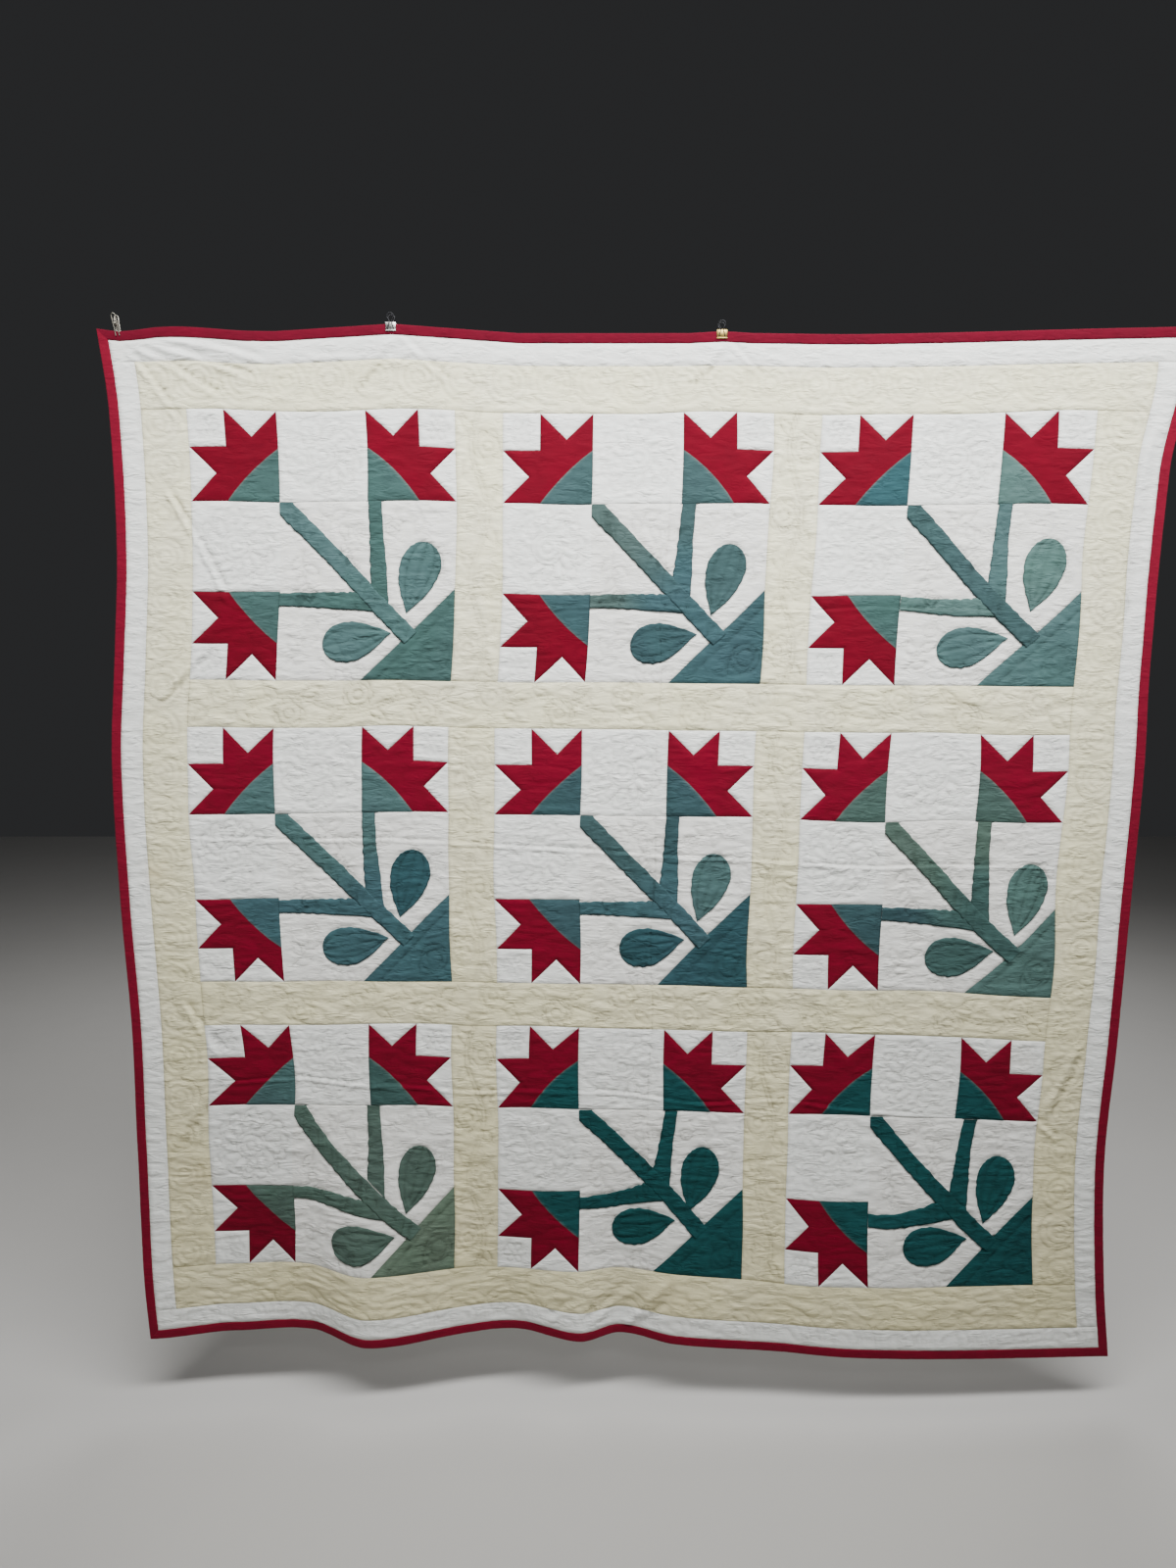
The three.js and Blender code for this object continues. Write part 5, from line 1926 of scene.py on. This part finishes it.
@dataclass
class Binding:
    """The red strips folded over the quilt's edge and mitred at its corners."""

    layout: Layout
    hang: Hang
    relief: Relief
    finishes: Finishes
    half_thick: float = 0.0023
    nose: float = 0.0026
    tuck: float = 0.0008
    lap: float = 0.0008
    shoulder: float = 0.004
    sunk: float = 0.0025
    step: float = 0.004
    pucker: float = 0.0003
    pucker_long: float = 0.011
    pucker_wide: float = 0.02
    pucker_shade: float = 0.6
    seam_shade: float = 0.5
    rub: float = 0.1
    rub_reach: float = 0.004
    grain: Grain = Grain(51)

    def section(self) -> list[Point]:
        """The strip's section, from its inner edge on the front round to its inner edge behind."""
        wide, thick = self.layout.binding, self.half_thick
        front = [
            (wide, self.tuck), (wide - self.lap, thick * 0.85),
            (wide - self.shoulder, thick), (wide * 0.5, thick * 0.97),
        ]
        turns = np.linspace(math.pi / 2, -math.pi / 2, 7)
        nose = [(self.nose * (1 - math.cos(turn)), thick * math.sin(turn)) for turn in turns]
        return front + nose + [(inset, -height) for inset, height in reversed(front)]

    def strip(self, name: str, place: Callable[[Array, Array], Pair], turned: bool,
              dye: Dye = Dye.BINDING) -> Piece:
        """One side's strip.

        Args:
            name: The side's solid, which the piece is named for.
            place: Gives flat places for a distance along the side and an inset.
            turned: Whether its faces have to be turned round.
            dye: Its dye lot.

        Returns:
            The piece.
        """
        section = np.array(self.section())
        columns, rows = len(section), round(self.layout.side / self.step)
        share = np.repeat(np.linspace(0, 1, rows), columns)
        inset, height = np.tile(section[:, 0], rows), np.tile(section[:, 1], rows)
        along = inset + (self.layout.side - 2 * inset) * share
        pucker = self.grain.at(along / self.pucker_long, inset / self.pucker_wide + np.sign(height) * 9)
        height = height + np.sign(height) * self.pucker * pucker
        places = self.hang.on_cloth(*place(along, inset), height)
        quads = grid_quads(rows, columns)
        corners = (quads[:, ::-1] if turned else quads).ravel()
        piece = new_mesh(f"{name}_strip", places, corners, np.full(len(quads), 4))
        worn = 1 + self.rub * rise(1 - inset / self.rub_reach)[:, None]
        sunk = rise((inset - self.layout.binding) / self.sunk + 1)
        # Painted shade in the pucker hollows and along the sewn inner edge, through the ditch mask.
        ditch = np.clip(-pucker, 0, 1) * self.pucker_shade + self.seam_shade * sunk
        paint(piece, tinted(dye, inset) * worn, np.clip(ditch, 0, 1), 0 * inset)
        finish_piece(piece, self.finishes.cotton[Cloth.RED], Cloth.RED.value, name)
        return piece

    def build(self) -> list[Piece]:
        """The four strips."""
        half, side = self.layout.half, self.layout.side
        return [
            self.strip("binding_top", lambda along, inset: (along - half, inset), True, Dye.GARNET),
            self.strip("binding_bottom", lambda along, inset: (along - half, side - inset), False),
            self.strip("binding_left", lambda along, inset: (inset - half, along), False),
            self.strip("binding_right", lambda along, inset: (half - inset, along), True),
        ]


def select_points(piece: Piece, wanted: Callable[[Vector], bool]) -> None:
    """Selects the points of a piece in edit mode, by their place.

    Args:
        piece: The piece, in edit mode.
        wanted: Says whether a place is wanted.
    """
    bpy.ops.mesh.select_all(action="DESELECT")
    bpy.ops.object.mode_set(mode="OBJECT")
    for edge in piece.data.edges:
        edge.select = all(wanted(piece.data.vertices[index].co) for index in edge.vertices)
    for point in piece.data.vertices:
        point.select = wanted(point.co)
    bpy.ops.object.mode_set(mode="EDIT")


def apply_modifier(piece: Piece, kind: str, **values: object) -> None:
    """Adds a modifier with its values and applies it."""
    made = piece.modifiers.new(kind.lower(), kind)
    for name, value in values.items():
        setattr(made, name, value)
    bpy.context.view_layer.objects.active = piece
    bpy.ops.object.modifier_apply(modifier=made.name)


def bent_wire(name: str, points: Sequence[Vector], diameter: float, sides: int = 3) -> Piece:
    """A round wire along a smooth line, with rounded ends.

    Args:
        name: The object's name.
        points: The places that the wire's middle goes through.
        diameter: The wire's diameter.
        sides: How finely its section is rounded.

    Returns:
        The wire as a mesh.
    """
    select_none()
    curve = bpy.data.curves.new(name, "CURVE")
    curve.dimensions = "3D"
    curve.bevel_depth = diameter / 2
    curve.bevel_resolution = sides
    curve.resolution_u = 6
    curve.use_fill_caps = True
    spline = curve.splines.new("BEZIER")
    spline.bezier_points.add(len(points) - 1)
    for knot, point in zip(spline.bezier_points, points):
        knot.co = point
        knot.handle_left_type = knot.handle_right_type = "AUTO"
    wire = bpy.data.objects.new(name, curve)
    bpy.context.scene.collection.objects.link(wire)
    wire.select_set(True)
    bpy.context.view_layer.objects.active = wire
    bpy.ops.object.convert(target="MESH")
    bpy.ops.object.shade_smooth()
    return bpy.context.object


def on_top_edge(hang: Hang, across: float) -> Vector:
    """The place of the quilt's top edge that far across."""
    return Vector(hang.place(np.array([across]), np.array([0.0]))[0])


def mirrored(points: Sequence[Vector]) -> list[Vector]:
    """Places turned over from left to right, the last one first."""
    return [Vector((-point.x, point.y, point.z)) for point in reversed(points)]


@dataclass
class SpringClip:
    """A small spring clip on the top edge: a bent sheet with curled lips and two wire handles."""

    name: str
    across: float
    width: float
    hang: Hang
    above: float = 0.0022
    below: float = 0.0138
    spine_half: float = 0.005
    jaw: float = 0.0027
    sheet: float = 0.0007
    lip: float = 0.0011
    curl: float = math.radians(290)
    curl_steps: int = 9
    weld: float = 0.00005
    rounded: float = 0.00016
    smooth_below: float = math.radians(40)
    wire: float = 0.0015
    foot: float = 0.0056
    foot_above_mouth: float = 0.0015
    foot_turn: Point = (0.0002, 0.002)
    waist: float = 0.0045
    neck: float = 0.0024
    loop: float = 0.0062
    loop_above_spine: float = 0.01
    loop_reach: float = math.radians(140)
    gap: float = 0.0003

    @property
    def seat(self) -> Vector:
        """The place of the top edge under the clip."""
        return on_top_edge(self.hang, self.across)

    def body(self) -> Piece:
        """The bent sheet: a flat spine, two cheeks and a curled lip at the foot of each."""
        select_none()
        bpy.ops.mesh.primitive_plane_add(size=1)
        body = bpy.context.object
        body.name = body.data.name = f"{self.name}_body"
        body.scale = (self.width, 2 * self.spine_half - self.sheet, 1)
        body.location = (0, 0, self.above - self.sheet / 2)
        bpy.ops.object.transform_apply(location=True, rotation=True, scale=True)
        bpy.ops.object.mode_set(mode="EDIT")
        cheek_foot = self.jaw + self.sheet / 2
        drop = -self.below - self.above + self.sheet / 2 + self.lip
        spine = self.spine_half - self.sheet / 2
        for side in (-1, 1):
            select_points(body, lambda co: co.y * side > spine / 2 and co.z > 0)
            step = (0, side * (cheek_foot - spine), drop)
            bpy.ops.mesh.extrude_region_move(TRANSFORM_OT_translate={"value": step})
            pivot = (0, side * (cheek_foot + self.lip), -self.below + self.lip)
            bpy.ops.mesh.spin(steps=self.curl_steps, angle=side * self.curl, center=pivot, axis=(1, 0, 0))
        bpy.ops.mesh.select_all(action="SELECT")
        bpy.ops.mesh.remove_doubles(threshold=self.weld)
        bpy.ops.mesh.normals_make_consistent(inside=False)
        bpy.ops.object.mode_set(mode="OBJECT")
        apply_modifier(body, "SOLIDIFY", thickness=self.sheet, offset=0.0)
        apply_modifier(body, "BEVEL", width=self.rounded, segments=2, limit_method="ANGLE")
        bpy.ops.object.shade_smooth_by_angle(angle=self.smooth_below)
        body.data.transform(Matrix.Translation(self.seat))
        return body

    def handle(self, end: str, side: int) -> Piece:
        """A wire handle that lies on a cheek and stands in a round loop above the spine.

        Args:
            end: Front or rear.
            side: Minus one in front, one behind.

        Returns:
            The handle.
        """
        cheek_foot = self.jaw + self.sheet
        lean = (self.spine_half - cheek_foot) / (self.above + self.below)

        def at(right: float, up: float) -> Vector:
            """A place on the cheek's outside."""
            depth = self.spine_half + (up - self.above) * lean + self.wire / 2 + self.gap
            return Vector((right, side * depth, up))

        centre = self.above + self.loop_above_spine
        turns = np.linspace(-self.loop_reach, self.loop_reach, 9)
        loop = [at(self.loop * math.sin(turn), centre + self.loop * math.cos(turn)) for turn in turns]
        foot = self.foot_above_mouth - self.below
        inward, upward = self.foot_turn
        left = [
            at(-self.foot, foot), at(-self.foot + inward, foot + upward),
            at(-self.waist, (foot + self.above) / 2), at(-self.neck, self.above),
        ]
        points = [point + self.seat for point in (*left, *loop, *mirrored(left))]
        return bent_wire(f"{self.name}_{end}_loop", points, self.wire)

    def build(self, plate: Material, slot: str, wire: Material) -> None:
        """Models and dresses the clip.

        Args:
            plate: The body's finish.
            slot: The body's material slot.
            wire: The handles' finish.
        """
        finish_piece(self.body(), plate, slot, self.name)
        for end, side in (("front", -1), ("rear", 1)):
            finish_piece(self.handle(end, side), wire, "dark_wire", f"{self.name}_{end}_handle")


@dataclass
class WirePeg:
    """A wire peg at the top left corner: two hairpins of wire and the coil between them."""

    hang: Hang
    across: float = -0.9865
    lean: float = math.radians(-9)
    wire: float = 0.002
    width: float = 0.009
    above: float = 0.033
    below: float = 0.0085
    jaw: float = 0.0027
    spread: float = 0.0046
    coil_at: float = 0.015
    coil_length: float = 0.012
    coil_turns: int = 4
    coil_share: float = 0.22
    coil_wire: float = 0.0013
    hook_at: float = 0.024
    hook_out: float = 0.0065
    hook_shares: Point = (1.0, 0.4)
    gap: float = 0.0003

    def placed(self, points: Iterable[Vector]) -> list[Vector]:
        """Places on the upright peg, leaned over and moved to the corner."""
        seat, turn = on_top_edge(self.hang, self.across), Matrix.Rotation(self.lean, 4, "Y")
        return [turn @ point + seat for point in points]

    def half(self, name: str, side: int) -> Piece:
        """One hairpin, its tips on the cloth and its bend above.

        Args:
            name: The piece's name.
            side: Minus one in front, one behind.

        Returns:
            The hairpin.
        """
        foot = self.jaw + self.wire / 2

        def at(right: float, up: float) -> Vector:
            """A place on the hairpin's plane."""
            share = (up + self.below) / (self.above + self.below)
            return Vector((right, side * (foot + self.spread * share), up))

        half = (self.width - self.wire) / 2
        bend = self.above - half - self.wire / 2
        left = [at(-half, up) for up in (-self.below, 0.0, bend / 2, bend)]
        turns = np.linspace(-math.pi / 3, math.pi / 3, 3)
        top = [at(half * math.sin(turn), bend + half * math.cos(turn)) for turn in turns]
        return bent_wire(name, self.placed((*left, *top, *mirrored(left))), self.wire)

    def coil(self, name: str) -> Piece:
        """The coil that closes the peg, one end of its wire hooked out at the left."""
        share = (self.coil_at + self.below) / (self.above + self.below)
        radius = self.jaw + self.spread * share - self.gap - self.coil_wire / 2
        turns = np.linspace(0, 2 * math.pi * self.coil_turns, 10 * self.coil_turns + 1)
        run = np.linspace(-self.coil_share, self.coil_share, len(turns)) * self.coil_length
        points = [Vector((-out * self.hook_out, 0, self.hook_at)) for out in self.hook_shares]
        for right, turn in zip(run, turns):
            points.append(Vector((right, radius * math.sin(turn), self.coil_at + radius * math.cos(turn))))
        points.append(Vector((self.coil_length / 2, 0, self.coil_at + radius)))
        return bent_wire(name, self.placed(points), self.coil_wire, 2)

    def build(self, metal: Material) -> None:
        """Models and dresses the peg."""
        finish_piece(self.half("peg_front_hairpin", -1), metal, "bright_wire", "peg_front")
        finish_piece(self.half("peg_rear_hairpin", 1), metal, "bright_wire", "peg_rear")
        finish_piece(self.coil("peg_coil"), metal, "bright_wire", "peg_spring")


@dataclass(frozen=True)
class Lamp:
    """A soft light: where it is, where it points, its size, its strength and how widely it shines."""

    name: str
    place: tuple[float, float, float]
    target: tuple[float, float, float]
    width: float
    height: float
    watts: float
    degrees: float


@dataclass(frozen=True)
class Studio:
    """The pale floor, the soft light and the camera."""

    floor_at: float = -2.19
    floor_size: float = 14.0
    camera_at: tuple[float, float, float] = (-0.096, -2.337, -0.569)
    camera_down: float = math.radians(7.29)
    lens: float = 27.0
    sensor: float = 36.0
    surround: Colour = (0.5, 0.51, 0.53)
    surround_strength: float = 0.05
    lamps: tuple[Lamp, ...] = (
        Lamp("key", (0.16, -1.3, 1.3), (-0.06, 0.0, -0.36), 4.0, 0.6, 86.0, 110.0),
        Lamp("fill", (0.7, -3.0, 0.9), (0.25, 0.0, -0.3), 2.0, 0.8, 10.0, 50.0),
        Lamp("behind", (0.6, 2.6, 1.2), (0.0, 0.0, -1.0), 2.4, 2.4, 60.0, 180.0),
    )

    def build(self) -> None:
        """Makes the floor, the lights, the surround and the camera."""
        select_none()
        bpy.ops.mesh.primitive_plane_add(size=self.floor_size, location=(0, 0, self.floor_at))
        floor = bpy.context.object
        floor.name = "floor"
        bpy.ops.object.transform_apply(location=True, rotation=True, scale=True)
        floor.data.materials.append(FloorFinish().build())
        for lamp in self.lamps:
            light = bpy.data.lights.new(lamp.name, "AREA")
            light.shape, light.energy = "RECTANGLE", lamp.watts
            light.size, light.size_y = lamp.width, lamp.height
            light.spread = math.radians(lamp.degrees)
            holder = bpy.data.objects.new(lamp.name, light)
            holder.location = lamp.place
            aim = Vector(lamp.target) - Vector(lamp.place)
            holder.rotation_euler = aim.to_track_quat("-Z", "Y").to_euler()
            bpy.context.scene.collection.objects.link(holder)
        world = bpy.data.worlds.new("surround")
        world.use_nodes = True
        sky = world.node_tree.nodes["Background"]
        sky.inputs["Color"].default_value = (*self.surround, 1.0)
        sky.inputs["Strength"].default_value = self.surround_strength
        bpy.context.scene.world = world
        camera = bpy.data.cameras.new("camera")
        camera.lens, camera.sensor_width = self.lens, self.sensor
        eye = bpy.data.objects.new("camera", camera)
        eye.location = self.camera_at
        eye.rotation_euler = (math.pi / 2 - self.camera_down, 0, 0)
        bpy.context.scene.collection.objects.link(eye)
        bpy.context.scene.camera = eye


def main() -> None:
    """Builds the quilt and what holds it, piece by piece."""
    layout = Layout()
    hang = Hang(layout)
    Studio().build()
    finishes = Finishes()
    sewing = Applique(layout)
    plan = QuiltingPlan(layout)
    lines = plan.vines() + plan.rings() + plan.fans()
    for block in BLOCKS:
        lines += plan.in_block(block, sewing.veins(block))
    log.info("quilting: %d lines", len(lines))
    relief = Relief(layout, Nearness(lines))
    top = QuiltTop(layout, hang, relief, finishes)
    pieces = top.borders() + top.blocks(sewing) + top.applique(sewing)
    pieces += Binding(layout, hang, relief, finishes).build()
    backing = top.backing()
    SpringClip("clip_silver", -0.468, 0.0195, hang).build(finishes.steel, "steel_plate", finishes.dark_wire)
    SpringClip("clip_gold", 0.158, 0.02, hang).build(finishes.brass, "brass_plate", finishes.dark_wire)
    WirePeg(hang).build(finishes.bright_wire)
    log.info("built %d cloth pieces", len(pieces) + 1)


if __name__ == "__main__":
    main()
